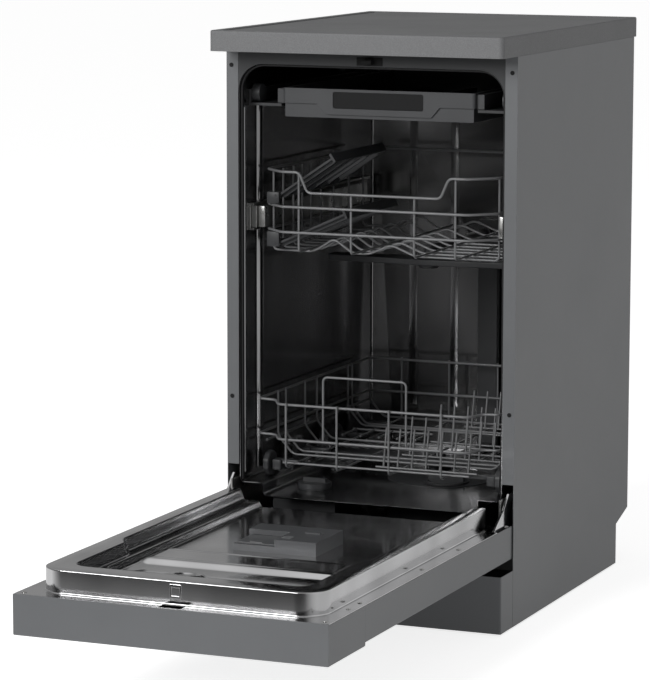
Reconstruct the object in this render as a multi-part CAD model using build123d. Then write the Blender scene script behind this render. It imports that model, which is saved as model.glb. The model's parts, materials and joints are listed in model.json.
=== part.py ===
from build123d import *
import math
import os

# Freestanding slim dishwasher, millimetres, +Z up, front towards -Y.
# It is modelled with its door open and its racks pushed home.
# y = 0 is the worktop's front edge. The whole part is moved by ORIGIN_SHIFT_Y when it
# is written, so that the origin lies on the floor, in the middle of the open machine.

# Overall size
HALF_WIDTH = 224.0
HEIGHT = 850.0
DEPTH = 610.0
WORKTOP_THICKNESS = 30.0
WORKTOP_UNDERSIDE = HEIGHT - WORKTOP_THICKNESS
SHEET = 1.0

# Cabinet
FLANGE_Y = 60.6
FLANGE_INNER_X = 205.5
FLANGE_BOTTOM_Z = 210.0
PANEL_REAR_Y = 594.0
PANEL_BOTTOM_Z = 3.0
PANEL_INNER_X = HALF_WIDTH - SHEET
NOTCH_Y = 537.5
NOTCH_LOW_Z = 65.0
NOTCH_HIGH_Z = 82.0
REAR_PANEL_BOTTOM_Z = 140.0
REAR_PANEL_Y = 590.0
FLANGE_SCREW_X = 216.0
FLANGE_SCREW_HEIGHTS = (311.0, 797.0)

# Kick plate and base
KICK_FRONT_Y = 10.0
KICK_HEIGHT = 86.0
KICK_SHEET = 1.2
BASE_FRONT_Y = 16.0
BASE_REAR_Y = 535.0
BASE_HALF_WIDTH = 221.0
BASE_BOTTOM_Z = 8.0
BASE_WALL = 3.0
BASE_TOP_Z = 60.0
SERVICE_WALL_TOP_Z = 138.0

# Feet
FOOT_X = 185.0
FOOT_FRONT_Y = 45.0
FOOT_REAR_Y = 500.0
FOOT_DISC_RADIUS = 20.0
FOOT_STEM_RADIUS = 5.0
FOOT_STEM_TOP_Z = 48.0

# Tub
TUB_HALF_WIDTH = 204.0
TUB_WALL = 1.0
TUB_FRONT_Y = 62.8
TUB_REAR_Y = 575.0
TUB_TOP_Z = 799.0
TUB_CORNER_RADIUS = 38.0
TUB_FLOOR_Z = 165.0
WHEEL_TRACK_Z = 184.0
WHEEL_TRACK_INNER_X = 168.0

# Sump, filter and lower spray arm
SUMP_X = 22.0
SUMP_Y = 297.0
SUMP_RADIUS = 80.0
SUMP_BOTTOM_Z = 100.0
FILTER_X = 45.0
FILTER_Y = 262.0
FILTER_RADIUS = 30.0
ARM_Y = 330.0
ARM_POST_RADIUS = 9.0
ARM_REACH = 165.0
RUNNING_CLEARANCE = 0.05
LOOSE_CLEARANCE = 0.4

# Door hinge and door
HINGE_Y = 53.5
HINGE_Z = 148.5
HINGE_PIN_RADIUS = 4.0
DOOR_HALF_WIDTH = 222.0
DOOR_END_Y = -616.0
DOOR_CONTROL_REAR_Y = -494.5
DOOR_TAIL_Y = 105.0
DOOR_OUTER_Z = 98.0
DOOR_PANEL_Z = 102.5
DOOR_STEEL_Z = 153.0
DOOR_SHEET = 1.5
LINER_REAR_Y = 40.0
LINER_NOTCH_Y = 0.0
LINER_NOTCH_X = 203.0
RIM_TOP_Z = WHEEL_TRACK_Z
RIM_HALF_WIDTH = 200.0
RIM_FRONT_Y = -592.0
RIM_REAR_Y = 10.0
RIM_CORNER_RADIUS = 36.0
PAN_HALF_WIDTH = 168.5
PAN_FRONT_Y = -558.0
PAN_FLOOR_Z = 159.0
PAN_CORNER_RADIUS = 14.0
DISPENSER_HALF_WIDTH = 62.0
DISPENSER_FRONT_Y = -279.0
DISPENSER_REAR_Y = -183.0
DISPENSER_TOP_Z = 178.0
DISPENSER_LOW_Z = 168.0
DISPENSER_STEP_Y = -224.0

# Wires of both racks
WIRE_RADIUS = 2.0
CROSS_WIRE_RADIUS = 1.75
WELD_BITE = 0.05
WIRE_STEP = WIRE_RADIUS + CROSS_WIRE_RADIUS - WELD_BITE

# Lower rack
LOWER_FRONT_Y = 73.0
LOWER_REAR_Y = 528.0
LOWER_FRONT_HALF_WIDTH = 148.0
LOWER_SIDE_X = 188.0
LOWER_RIM_Z = 304.0
LOWER_FRONT_RIM_Z = 301.0
LOWER_SECOND_Z = 252.0
LOWER_FLOOR_Z = 212.0
LOWER_SIDE_WIRE_Z = 237.5
WHEEL_RADIUS = 18.8
WHEEL_GAP = 0.5
WHEEL_Z = WHEEL_TRACK_Z + WHEEL_GAP + WHEEL_RADIUS
WHEEL_INNER_X = 178.0
WHEEL_OUTER_X = 191.0
WHEEL_PLACES_Y = (123.0, 233.0, 377.0, 487.0)
WHEEL_AXLE_RADIUS = 4.0
LOWER_LONG_WIRES_X = (-134.0, -53.5, 28.0, 109.0)
LOWER_CROSS_WIRES_Y = (156.0, 185.0, 258.0, 304.0, 429.0, 446.0, 520.0)
TINE_ROWS_Y = (110.0, 215.0, 335.0, 480.0)
TINE_RADIUS = 1.6
TINE_PITCH = 22.0

# Upper rack
UPPER_FRONT_Y = 76.0
UPPER_REAR_Y = 500.0
UPPER_FRONT_HALF_WIDTH = 144.0
UPPER_SIDE_X = 180.0
UPPER_RIM_Z = 643.0
UPPER_DIP_Z = 613.5
UPPER_SECOND_Z = 592.0
UPPER_THIRD_Z = 555.0
UPPER_FLOOR_Z = 523.0
UPPER_CROSS_WIRES_Y = (122.0, 157.0, 195.0, 228.0, 262.0, 300.0, 350.0, 410.0, 470.0)
UPPER_LONG_WIRES_X = (-118.0, -36.0, 62.0, 125.0)
UPPER_ARM_Y = 300.0
UPPER_ARM_Z = 495.0
MANIFOLD_Z = 511.0
MANIFOLD_RADIUS = 7.0
RAIL_Z = 573.0
RAIL_HALF_HEIGHT = 20.0
RAIL_SLIDE_HALF_HEIGHT = 16.0
RAIL_FRONT_Y = 95.0
RAIL_REAR_Y = 550.0
SHELF_HINGE_X = -160.0

# Cutlery tray
TRAY_FRONT_Y = 92.0
TRAY_REAR_Y = 520.0
TRAY_HALF_WIDTH = 149.0
TRAY_RUNNER_X = 160.0
TRAY_TOP_Z = 764.0
TRAY_RIM_Z = 742.0
TRAY_BOTTOM_Z = 722.0
TRAY_WALL = 2.5
TRAY_RAIL_TOP_Z = 740.5

ORIGIN_SHIFT_Y = -(DOOR_END_Y + DEPTH) / 2

os.makedirs("parts", exist_ok=True)


def block(x0, x1, y0, y1, z0, z1):
    size = (abs(x1 - x0), abs(y1 - y0), abs(z1 - z0))
    return Pos((x0 + x1) / 2, (y0 + y1) / 2, (z0 + z1) / 2) * Box(*size)


def centred_block(half_width, y0, y1, z0, z1):
    return block(-half_width, half_width, y0, y1, z0, z1)


def rod(start, end, radius):
    """A round bar between two points."""
    axis = Vector(*end) - Vector(*start)
    plane = Plane(origin=start, z_dir=axis)
    return extrude(plane * Circle(radius), axis.length)


def side_plate(points, x0, x1):
    """A flat plate whose outline is given as (y, z) points, between two x planes."""
    outline = Polyline(*[(x0, y, z) for y, z in points], close=True)
    return extrude(make_face(outline), x1 - x0, dir=(1, 0, 0))


def front_plate(outline, y0, y1):
    """A flat plate drawn as seen from the front in (x, z), between two y planes."""
    return extrude(Plane((0, y0, 0), x_dir=(1, 0, 0), z_dir=(0, -1, 0)) * outline, y0 - y1)


def arch_outline(half_width, bottom, top, radius):
    """An upright outline with rounded upper corners, in (x, z)."""
    straight = top - radius
    centre = half_width - radius
    corner = radius * math.sqrt(0.5)
    points = [(-half_width, bottom), (-half_width, straight)]
    left = ThreePointArc(points[1], (-centre - corner, straight + corner), (-centre, top))
    right = ThreePointArc((centre, top), (centre + corner, straight + corner), (half_width, straight))
    sides = [
        Line(points[0], points[1]),
        left,
        Line((-centre, top), (centre, top)),
        right,
        Line((half_width, straight), (half_width, bottom)),
        Line((half_width, bottom), points[0]),
    ]
    return make_face(Wire(sides))


def tongue_slab(half_width, y_front, y_rear, z0, z1, radius):
    """A flat slab seen from above, with its two front corners rounded."""
    slab = centred_block(half_width, y_front, y_rear, z0, z1)
    corners = slab.edges().filter_by(Axis.Z).sort_by(Axis.Y)[0:2]
    return fillet(corners, radius)


def mirrored(solid):
    return mirror(solid, about=Plane.YZ)


def bent_wire(points, radius):
    """Straight wires along the points, cut to mitres where they meet."""
    ends = [Vector(*point) for point in points]
    runs = [(b - a).normalized() for a, b in zip(ends, ends[1:])]
    pieces = []
    for index, run in enumerate(runs):
        start, end = ends[index], ends[index + 1]
        cuts = []
        if index > 0:
            cuts.append((start, (runs[index - 1] + run).normalized(), Keep.TOP))
        if index < len(runs) - 1:
            cuts.append((end, (run + runs[index + 1]).normalized(), Keep.BOTTOM))
        spare = 2 * radius
        first = start - run * spare if index > 0 else start
        last = end + run * spare if index < len(runs) - 1 else end
        piece = rod(tuple(first), tuple(last), radius)
        for origin, normal, kept in cuts:
            piece = split(piece, bisect_by=Plane(origin=origin, z_dir=normal), keep=kept)
        pieces.append(piece)
    return pieces


def write(name, *shapes):
    """Write one piece, or a group of like solids, in the part's own frame."""
    solids = [solid for shape in shapes for solid in shape.solids()]
    moved = [Pos(0, ORIGIN_SHIFT_Y, 0) * solid for solid in solids]
    group = moved[0] if len(moved) == 1 else Compound(children=moved)
    export_step(group, f"parts/{name}.step")


def make_worktop():
    edge_width = 14.0
    bead_drop = 1.5
    frame = centred_block(HALF_WIDTH, 0, DEPTH, WORKTOP_UNDERSIDE, HEIGHT)
    frame = fillet(frame.edges().filter_by(Axis.Z), 7)
    frame = fillet(frame.faces().sort_by(Axis.Z)[-1].edges(), 2.5)
    pocket_x = HALF_WIDTH - edge_width
    pocket = (edge_width, DEPTH - edge_width)
    frame -= centred_block(pocket_x, *pocket, WORKTOP_UNDERSIDE - 1, HEIGHT + 1)
    write("worktop_edging", frame)
    board = centred_block(pocket_x, *pocket, WORKTOP_UNDERSIDE + 4, HEIGHT - bead_drop)
    write("worktop_board", board)


def make_side_panels():
    outline = [
        (FLANGE_Y, PANEL_BOTTOM_Z),
        (FLANGE_Y, WORKTOP_UNDERSIDE),
        (PANEL_REAR_Y, WORKTOP_UNDERSIDE),
        (PANEL_REAR_Y, NOTCH_HIGH_Z),
        (NOTCH_Y, NOTCH_LOW_Z),
        (NOTCH_Y, PANEL_BOTTOM_Z),
    ]
    sheet = side_plate(outline, PANEL_INNER_X, HALF_WIDTH)
    flange_rear = FLANGE_Y + 1.2
    flange = block(FLANGE_INNER_X, HALF_WIDTH, FLANGE_Y, flange_rear, FLANGE_BOTTOM_Z, WORKTOP_UNDERSIDE)
    panel = sheet + flange
    for height in FLANGE_SCREW_HEIGHTS:
        panel -= rod((FLANGE_SCREW_X, FLANGE_Y - 1, height), (FLANGE_SCREW_X, FLANGE_Y + 3, height), 2.0)
    write("side_panel_right", panel)
    write("side_panel_left", mirrored(panel))


def make_cabinet_screws():
    head_thickness = 0.8
    screws = []
    for side in (-1, 1):
        for height in FLANGE_SCREW_HEIGHTS:
            x = side * FLANGE_SCREW_X
            head = rod((x, FLANGE_Y - head_thickness, height), (x, FLANGE_Y, height), 3.2)
            shank = rod((x, FLANGE_Y, height), (x, FLANGE_Y + 12, height), 1.7)
            screws.append(head + shank)
    write("cabinet_screws", *screws)


def make_rear_panel():
    half_width = PANEL_INNER_X - 0.1
    height = (REAR_PANEL_BOTTOM_Z, WORKTOP_UNDERSIDE)
    panel = centred_block(half_width, REAR_PANEL_Y, REAR_PANEL_Y + SHEET, *height)
    pressed_half_width = 150.0
    pressed_depth = 5.0
    pressing = centred_block(pressed_half_width, REAR_PANEL_Y - pressed_depth, REAR_PANEL_Y + SHEET,
                             220, 740)
    hollow = centred_block(pressed_half_width - SHEET, REAR_PANEL_Y - pressed_depth + SHEET,
                           REAR_PANEL_Y + SHEET + 1, 220 + SHEET, 740 - SHEET)
    write("rear_panel", panel + pressing - hollow)


def make_kick_plate():
    return_rear_y = 60.0
    outer = centred_block(HALF_WIDTH, KICK_FRONT_Y, return_rear_y, PANEL_BOTTOM_Z, KICK_HEIGHT)
    outer = fillet(outer.edges().filter_by(Axis.Z).sort_by(Axis.Y)[0:2], 2.5)
    inner = centred_block(HALF_WIDTH - KICK_SHEET, KICK_FRONT_Y + KICK_SHEET, return_rear_y + 1,
                          PANEL_BOTTOM_Z - 1, KICK_HEIGHT + 1)
    write("kick_plate", outer - inner)


DRAIN_X = -95.0
DRAIN_Z = 95.0
DRAIN_RADIUS = 9.5
INLET_X = -160.0
INLET_Z = 102.0
INLET_THREAD_RADIUS = 13.2
GLAND_X = 155.0
GLAND_Z = 105.0
GLAND_RADIUS = 9.0
CONNECTION_END_Y = 576.0
CONNECTION_START_Y = 538.0


def make_base_tray():
    floor_z = BASE_BOTTOM_Z + BASE_WALL
    tray = centred_block(BASE_HALF_WIDTH, BASE_FRONT_Y, BASE_REAR_Y, BASE_BOTTOM_Z, BASE_TOP_Z)
    tray -= centred_block(BASE_HALF_WIDTH - BASE_WALL, BASE_FRONT_Y + BASE_WALL, BASE_REAR_Y - BASE_WALL,
                          floor_z, BASE_TOP_Z + 1)
    tray += centred_block(BASE_HALF_WIDTH, BASE_REAR_Y - BASE_WALL, BASE_REAR_Y,
                          BASE_BOTTOM_Z, SERVICE_WALL_TOP_Z)
    for x, z, radius in (
        (DRAIN_X, DRAIN_Z, DRAIN_RADIUS),
        (INLET_X, INLET_Z, INLET_THREAD_RADIUS),
        (GLAND_X, GLAND_Z, GLAND_RADIUS),
    ):
        tray -= rod((x, BASE_REAR_Y - 10, z), (x, BASE_REAR_Y + 5, z), radius + LOOSE_CLEARANCE)
    for x in (-FOOT_X, FOOT_X):
        for y in (FOOT_FRONT_Y, FOOT_REAR_Y):
            hole_radius = FOOT_STEM_RADIUS + LOOSE_CLEARANCE
            tray -= rod((x, y, BASE_BOTTOM_Z - 1), (x, y, floor_z + 1), hole_radius)
    write("base_tray", tray)


def make_feet():
    disc_top = 6.0
    for end, y in (("front", FOOT_FRONT_Y), ("rear", FOOT_REAR_Y)):
        for side, x in (("left", -FOOT_X), ("right", FOOT_X)):
            disc = rod((x, y, 0), (x, y, disc_top), FOOT_DISC_RADIUS)
            stem = rod((x, y, disc_top), (x, y, FOOT_STEM_TOP_Z), FOOT_STEM_RADIUS)
            write(f"foot_{end}_{side}", disc + stem)


def make_front_header():
    thickness = 2.0
    front = FLANGE_Y + 0.2
    half_width = FLANGE_INNER_X - 0.1
    web_bottom = TUB_TOP_Z - TUB_CORNER_RADIUS + 1
    plate = centred_block(half_width, front, front + thickness, web_bottom, WORKTOP_UNDERSIDE)
    opening = arch_outline(TUB_HALF_WIDTH + 0.5, WHEEL_TRACK_Z, TUB_TOP_Z + 0.5, TUB_CORNER_RADIUS)
    plate -= front_plate(opening, front - 1, front + thickness + 1)
    plate -= centred_block(9, front - 1, front + thickness + 1, 802.5, 811.5)
    write("front_header", plate)


def make_door_lock():
    body = centred_block(22, TUB_FRONT_Y, 95, TUB_TOP_Z + 2.5, WORKTOP_UNDERSIDE - 1)
    hook = centred_block(7, 48, TUB_FRONT_Y, 804, 810)
    bezel = centred_block(20, FLANGE_Y - 0.4, FLANGE_Y + 0.2, 801, 813)
    write("door_lock", body + hook + bezel)


def tub_section(grow):
    """The tub's cross section, grown outwards by a wall thickness."""
    upper = arch_outline(TUB_HALF_WIDTH + grow, WHEEL_TRACK_Z - grow, TUB_TOP_Z + grow,
                         TUB_CORNER_RADIUS + grow)
    well_width = 2 * (WHEEL_TRACK_INNER_X + grow)
    well_top = WHEEL_TRACK_Z + 1
    well_bottom = TUB_FLOOR_Z - grow
    well = Pos(0, (well_top + well_bottom) / 2) * Rectangle(well_width, well_top - well_bottom)
    return upper + well


SALT_X = -122.0
SALT_Y = 150.0
SALT_MOUTH_RADIUS = 25.0


def make_tub():
    """The tub, welded from a wrap that ends on the wheel tracks and a pressed floor."""
    shell = front_plate(tub_section(TUB_WALL), TUB_FRONT_Y, TUB_REAR_Y + TUB_WALL)
    shell -= front_plate(tub_section(0), TUB_FRONT_Y - 1, TUB_REAR_Y)
    under_floor = TUB_FLOOR_Z - 10
    shell -= rod((SUMP_X, SUMP_Y, under_floor), (SUMP_X, SUMP_Y, TUB_FLOOR_Z + 5), SUMP_RADIUS)
    shell -= rod((SALT_X, SALT_Y, under_floor), (SALT_X, SALT_Y, TUB_FLOOR_Z + 5), SALT_MOUTH_RADIUS)
    below_tracks = centred_block(HALF_WIDTH, TUB_FRONT_Y - 1, DEPTH, under_floor, WHEEL_TRACK_Z)
    write("tub", shell & below_tracks, shell - below_tracks)


def make_tub_gasket():
    front, rear = 66.0, 72.0
    thickness = 3.0
    bottom = WHEEL_TRACK_Z + 2
    outer = arch_outline(TUB_HALF_WIDTH, bottom, TUB_TOP_Z, TUB_CORNER_RADIUS)
    inner = arch_outline(TUB_HALF_WIDTH - thickness, bottom - 1, TUB_TOP_Z - thickness,
                         TUB_CORNER_RADIUS - thickness)
    gasket = front_plate(outer, front, rear) - front_plate(inner, front - 1, rear + 1)
    write("tub_gasket", gasket)


def make_sump():
    wall = 3.0
    floor_underside = TUB_FLOOR_Z - TUB_WALL
    plate_bottom = floor_underside - 3.5

    def upright(x, y, z0, z1, radius):
        return rod((x, y, z0), (x, y, z1), radius)

    cup = upright(SUMP_X, SUMP_Y, SUMP_BOTTOM_Z, floor_underside, SUMP_RADIUS + 4)
    cup += upright(SUMP_X, SUMP_Y, plate_bottom, floor_underside, SUMP_RADIUS + 10)
    cup -= upright(SUMP_X, SUMP_Y, SUMP_BOTTOM_Z + wall, plate_bottom, SUMP_RADIUS + 4 - wall)
    cup += upright(SUMP_X, SUMP_Y, floor_underside, TUB_FLOOR_Z + 1, SUMP_RADIUS - 0.5)
    cup += upright(0, ARM_Y, TUB_FLOOR_Z, 190, ARM_POST_RADIUS)
    cup -= upright(0, ARM_Y, plate_bottom - 1, 191, ARM_POST_RADIUS - 3)
    cup -= upright(FILTER_X, FILTER_Y, plate_bottom - 1, TUB_FLOOR_Z + 3, FILTER_RADIUS + 1)
    write("sump_housing", cup)

    bottom = SUMP_BOTTOM_Z + wall + 2
    basket = upright(FILTER_X, FILTER_Y, bottom, 168.5, FILTER_RADIUS)
    basket += upright(FILTER_X, FILTER_Y, 166.5, 169, FILTER_RADIUS + 4)
    basket -= upright(FILTER_X, FILTER_Y, bottom + 2, 170, FILTER_RADIUS - 2)
    grip = block(FILTER_X - 27.9, FILTER_X + 27.9, FILTER_Y - 3, FILTER_Y + 3, 150, 176)
    write("filter_cylinder", basket + grip)


def spray_arm(x, y, z0, z1, reach, bore_radius, hub_radius, hub_bottom, hub_top):
    """A two-bladed spray arm: tapered flat blades on a round hub with a blind bore."""
    root_half, tip_half = 26.0, 15.0
    outline = Polyline(
        (x - reach, y - tip_half, z0),
        (x, y - root_half, z0),
        (x + reach, y - tip_half, z0),
        (x + reach, y + tip_half, z0),
        (x, y + root_half, z0),
        (x - reach, y + tip_half, z0),
        close=True,
    )
    blades = extrude(make_face(outline), z1 - z0, dir=(0, 0, 1))
    blades = fillet(blades.edges().filter_by(Axis.Z), 8)
    hub = rod((x, y, hub_bottom), (x, y, hub_top), hub_radius)
    return blades + hub - rod((x, y, hub_bottom - 1), (x, y, hub_top - 3), bore_radius)


def make_lower_spray_arm():
    bore = ARM_POST_RADIUS + RUNNING_CLEARANCE
    arm = spray_arm(0, ARM_Y, 181, 191, ARM_REACH, bore, 17, 177, 196)
    write("lower_spray_arm", arm)


def make_supply_pipe():
    floor_run = centred_block(11, ARM_Y + ARM_POST_RADIUS + 0.5, 570, TUB_FLOOR_Z + 1, 175)
    riser = centred_block(16, 558, 570, TUB_FLOOR_Z + 1, 530)
    nozzle = rod((0, 545, MANIFOLD_Z), (0, 560, MANIFOLD_Z), 9)
    bore = rod((0, 544, MANIFOLD_Z), (0, 556, MANIFOLD_Z), 6)
    write("supply_pipe", floor_run + riser + nozzle - bore)


def make_pumps():
    pump_y, pump_z = 430.0, 100.0
    body = rod((-60, pump_y, pump_z), (70, pump_y, pump_z), 42)
    motor = rod((70, pump_y, pump_z), (120, pump_y, pump_z), 32)
    stub_start = SUMP_Y + SUMP_RADIUS + 4
    stub = rod((SUMP_X, stub_start, 118), (SUMP_X, pump_y - 20, 118), 14)
    write("circulation_pump", body + motor + stub)

    drain = rod((DRAIN_X, 250, DRAIN_Z), (DRAIN_X, 330, DRAIN_Z), 25)
    hose = rod((DRAIN_X, 330, DRAIN_Z), (DRAIN_X, CONNECTION_START_Y, DRAIN_Z), DRAIN_RADIUS - 0.6)
    spigot = rod((DRAIN_X, CONNECTION_START_Y, DRAIN_Z), (DRAIN_X, CONNECTION_END_Y, DRAIN_Z), DRAIN_RADIUS)
    feed_end = SUMP_X - SUMP_RADIUS - 4
    feed = rod((DRAIN_X, 290, 118), (feed_end - 1.5, 290, 118), 6)
    bore = rod((DRAIN_X, BASE_REAR_Y, DRAIN_Z), (DRAIN_X, CONNECTION_END_Y + 1, DRAIN_Z), DRAIN_RADIUS - 2)
    write("drain_pump", drain + hose + spigot + feed - bore)


def make_water_inlet():
    coil_half = 20.0
    body_rear = BASE_REAR_Y - BASE_WALL
    body = block(INLET_X - coil_half, INLET_X + coil_half, 485, body_rear, INLET_Z - 24, INLET_Z + 24)
    neck = rod((INLET_X, body_rear, INLET_Z), (INLET_X, CONNECTION_START_Y, INLET_Z), INLET_THREAD_RADIUS - 0.8)
    thread = rod((INLET_X, CONNECTION_START_Y, INLET_Z), (INLET_X, CONNECTION_END_Y, INLET_Z),
                 INLET_THREAD_RADIUS)
    bore = rod((INLET_X, body_rear, INLET_Z), (INLET_X, CONNECTION_END_Y + 1, INLET_Z), 9.5)
    write("inlet_valve", body + neck + thread - bore)


def make_terminal_box():
    body_rear = BASE_REAR_Y - BASE_WALL
    body = block(GLAND_X - 38, GLAND_X + 38, 498, body_rear, GLAND_Z - 24, GLAND_Z + 24)
    gland = rod((GLAND_X, body_rear, GLAND_Z), (GLAND_X, 558, GLAND_Z), GLAND_RADIUS)
    bore = rod((GLAND_X, body_rear, GLAND_Z), (GLAND_X, 559, GLAND_Z), 4.5)
    write("terminal_box", body + gland - bore)


def make_salt_container():
    floor_underside = TUB_FLOOR_Z - TUB_WALL
    bottle = block(SALT_X - 55, SALT_X + 45, SALT_Y - 30, SALT_Y + 75, 88, 150)
    neck = rod((SALT_X, SALT_Y, 145), (SALT_X, SALT_Y, floor_underside), SALT_MOUTH_RADIUS + 6)
    collar = rod((SALT_X, SALT_Y, floor_underside), (SALT_X, SALT_Y, TUB_FLOOR_Z + 1),
                 SALT_MOUTH_RADIUS - 0.5)
    hollow = block(SALT_X - 52, SALT_X + 42, SALT_Y - 27, SALT_Y + 72, 91, 147)
    mouth = rod((SALT_X, SALT_Y, 140), (SALT_X, SALT_Y, TUB_FLOOR_Z + 2), SALT_MOUTH_RADIUS - 4)
    write("salt_container", bottle + neck + collar - hollow - mouth)

    cap = rod((SALT_X, SALT_Y, TUB_FLOOR_Z + 1.4), (SALT_X, SALT_Y, 174), SALT_MOUTH_RADIUS)
    plug_radius = SALT_MOUTH_RADIUS - 4 - LOOSE_CLEARANCE
    cap += rod((SALT_X, SALT_Y, 152), (SALT_X, SALT_Y, 170), plug_radius)
    cap += block(SALT_X - 18, SALT_X + 18, SALT_Y - 3, SALT_Y + 3, 170, 180)
    write("salt_cap", cap)


def make_counterweight():
    write("counterweight", centred_block(160, 385, 528, BASE_BOTTOM_Z + BASE_WALL, 42))


def make_hinges():
    pin_centre = (HINGE_Y, HINGE_Z)
    bracket_outline = [
        (42, 135), (42, 190), (120, 190), (190, 150), (190, 60), (150, 60), (150, 110), (110, 132),
    ]
    bracket = side_plate(bracket_outline, 208, 211)
    bracket += rod((211, *pin_centre), (219, *pin_centre), HINGE_PIN_RADIUS)
    write("hinge_bracket_right", bracket)
    write("hinge_bracket_left", mirrored(bracket))

    arm_outline = [
        (-120, 128), (-120, 151.4), (1, 151.4), (12, 160), (40, 176), (62, 197), (76, 197),
        (78, 186), (68, 168), (68, 138), (50, 134), (20, 130),
    ]
    arm = side_plate(arm_outline, 213, 216.5)
    arm -= rod((212, *pin_centre), (218, *pin_centre), HINGE_PIN_RADIUS + RUNNING_CLEARANCE)
    write("hinge_arm_right", arm)
    write("hinge_arm_left", mirrored(arm))

    spring_z, spring_x = 120.0, 214.0
    coil = rod((spring_x, 210, spring_z), (spring_x, 400, spring_z), 8)
    hook = rod((spring_x - 1, 178, spring_z), (spring_x - 1, 210, spring_z), 2)
    tail = rod((spring_x, 400, spring_z), (spring_x, 425, spring_z), 2)
    write("balance_spring_right", coil + hook + tail)
    write("balance_spring_left", mirrored(coil + hook + tail))


def make_door_outer_panel():
    sheet_top = DOOR_PANEL_Z + SHEET
    liner_underside = DOOR_STEEL_Z - DOOR_SHEET
    panel = centred_block(DOOR_HALF_WIDTH, DOOR_CONTROL_REAR_Y, DOOR_TAIL_Y, DOOR_PANEL_Z, liner_underside)
    panel = fillet(panel.edges().filter_by(Axis.Y).sort_by(Axis.Z)[0:2], 2.5)
    hollow = centred_block(DOOR_HALF_WIDTH - SHEET, DOOR_CONTROL_REAR_Y - 1, DOOR_TAIL_Y + 1,
                           sheet_top, liner_underside + 1)
    write("door_outer_panel", panel - hollow)


CATCH_HALF_WIDTH = 8.5
HOOK_SLOT_HALF_WIDTH = 15.0


def make_door_liner():
    underside = DOOR_STEEL_Z - DOOR_SHEET
    wall = DOOR_SHEET
    rim = tongue_slab(RIM_HALF_WIDTH, RIM_FRONT_Y, RIM_REAR_Y, underside, RIM_TOP_Z, RIM_CORNER_RADIUS)
    rim_hollow = tongue_slab(RIM_HALF_WIDTH - wall, RIM_FRONT_Y + wall, RIM_REAR_Y - wall,
                             underside - 1, RIM_TOP_Z - wall, RIM_CORNER_RADIUS - wall)
    rim -= rim_hollow
    pan_outer = centred_block(PAN_HALF_WIDTH + wall, PAN_FRONT_Y - wall, RIM_REAR_Y,
                              PAN_FLOOR_Z - wall, RIM_TOP_Z)
    rim += pan_outer
    rim -= tongue_slab(PAN_HALF_WIDTH, PAN_FRONT_Y, RIM_REAR_Y + 5, PAN_FLOOR_Z, RIM_TOP_Z + 1,
                       PAN_CORNER_RADIUS)
    ridge_rise = 6.0
    rim += centred_block(158, -372, -340, PAN_FLOOR_Z - 1, PAN_FLOOR_Z + ridge_rise)
    rim -= rod((-48, -447, PAN_FLOOR_Z - 0.8), (-48, -447, PAN_FLOOR_Z + 1), 22)
    edge = centred_block(DOOR_HALF_WIDTH, DOOR_END_Y + 2, LINER_NOTCH_Y, underside, DOOR_STEEL_Z)
    edge += centred_block(LINER_NOTCH_X, LINER_NOTCH_Y, LINER_REAR_Y, underside, DOOR_STEEL_Z)
    edge -= tongue_slab(RIM_HALF_WIDTH - wall, RIM_FRONT_Y + wall, RIM_REAR_Y - wall, underside - 1,
                        DOOR_STEEL_Z + 1, RIM_CORNER_RADIUS - wall)
    liner = rim + edge
    liner -= centred_block(HOOK_SLOT_HALF_WIDTH, -611.5, -598.5, underside - 1, DOOR_STEEL_Z + 1)
    liner -= centred_block(CATCH_HALF_WIDTH, RIM_FRONT_Y - 1, RIM_FRONT_Y + 5, 160, 180)
    liner -= centred_block(DISPENSER_HALF_WIDTH, DISPENSER_FRONT_Y, DISPENSER_REAR_Y,
                           PAN_FLOOR_Z - 5, PAN_FLOOR_Z + 1)
    write("door_liner", liner)


def make_door_catch():
    catch = centred_block(CATCH_HALF_WIDTH, RIM_FRONT_Y - 1, -575, 160, 180)
    slot = centred_block(CATCH_HALF_WIDTH - 3, RIM_FRONT_Y - 2, -582, 165, 175)
    write("door_catch", catch - slot)


DOOR_SCREW_PLACES_Y = (-603.0, -527.0, -489.0, -270.0, -131.0)


def make_door_screws():
    screws = []
    for side in (-1, 1):
        for y in DOOR_SCREW_PLACES_Y:
            x = side * 212
            head = rod((x, y, DOOR_STEEL_Z), (x, y, DOOR_STEEL_Z + 0.9), 3)
            screws.append(head)
    write("door_screws", *screws)


BUTTON_Y = -560.0
BUTTON_PLACES_X = {"power_button": -180.0, "programme_button": 150.0}
BUTTON_RADIUS = 9.0
HANDLE_HALF_WIDTH = 76.0
HANDLE_FRONT_Y = -536.0
HANDLE_REAR_Y = -500.0
HANDLE_DEPTH = 24.0
FASCIA_WALL = 2.5


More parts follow.
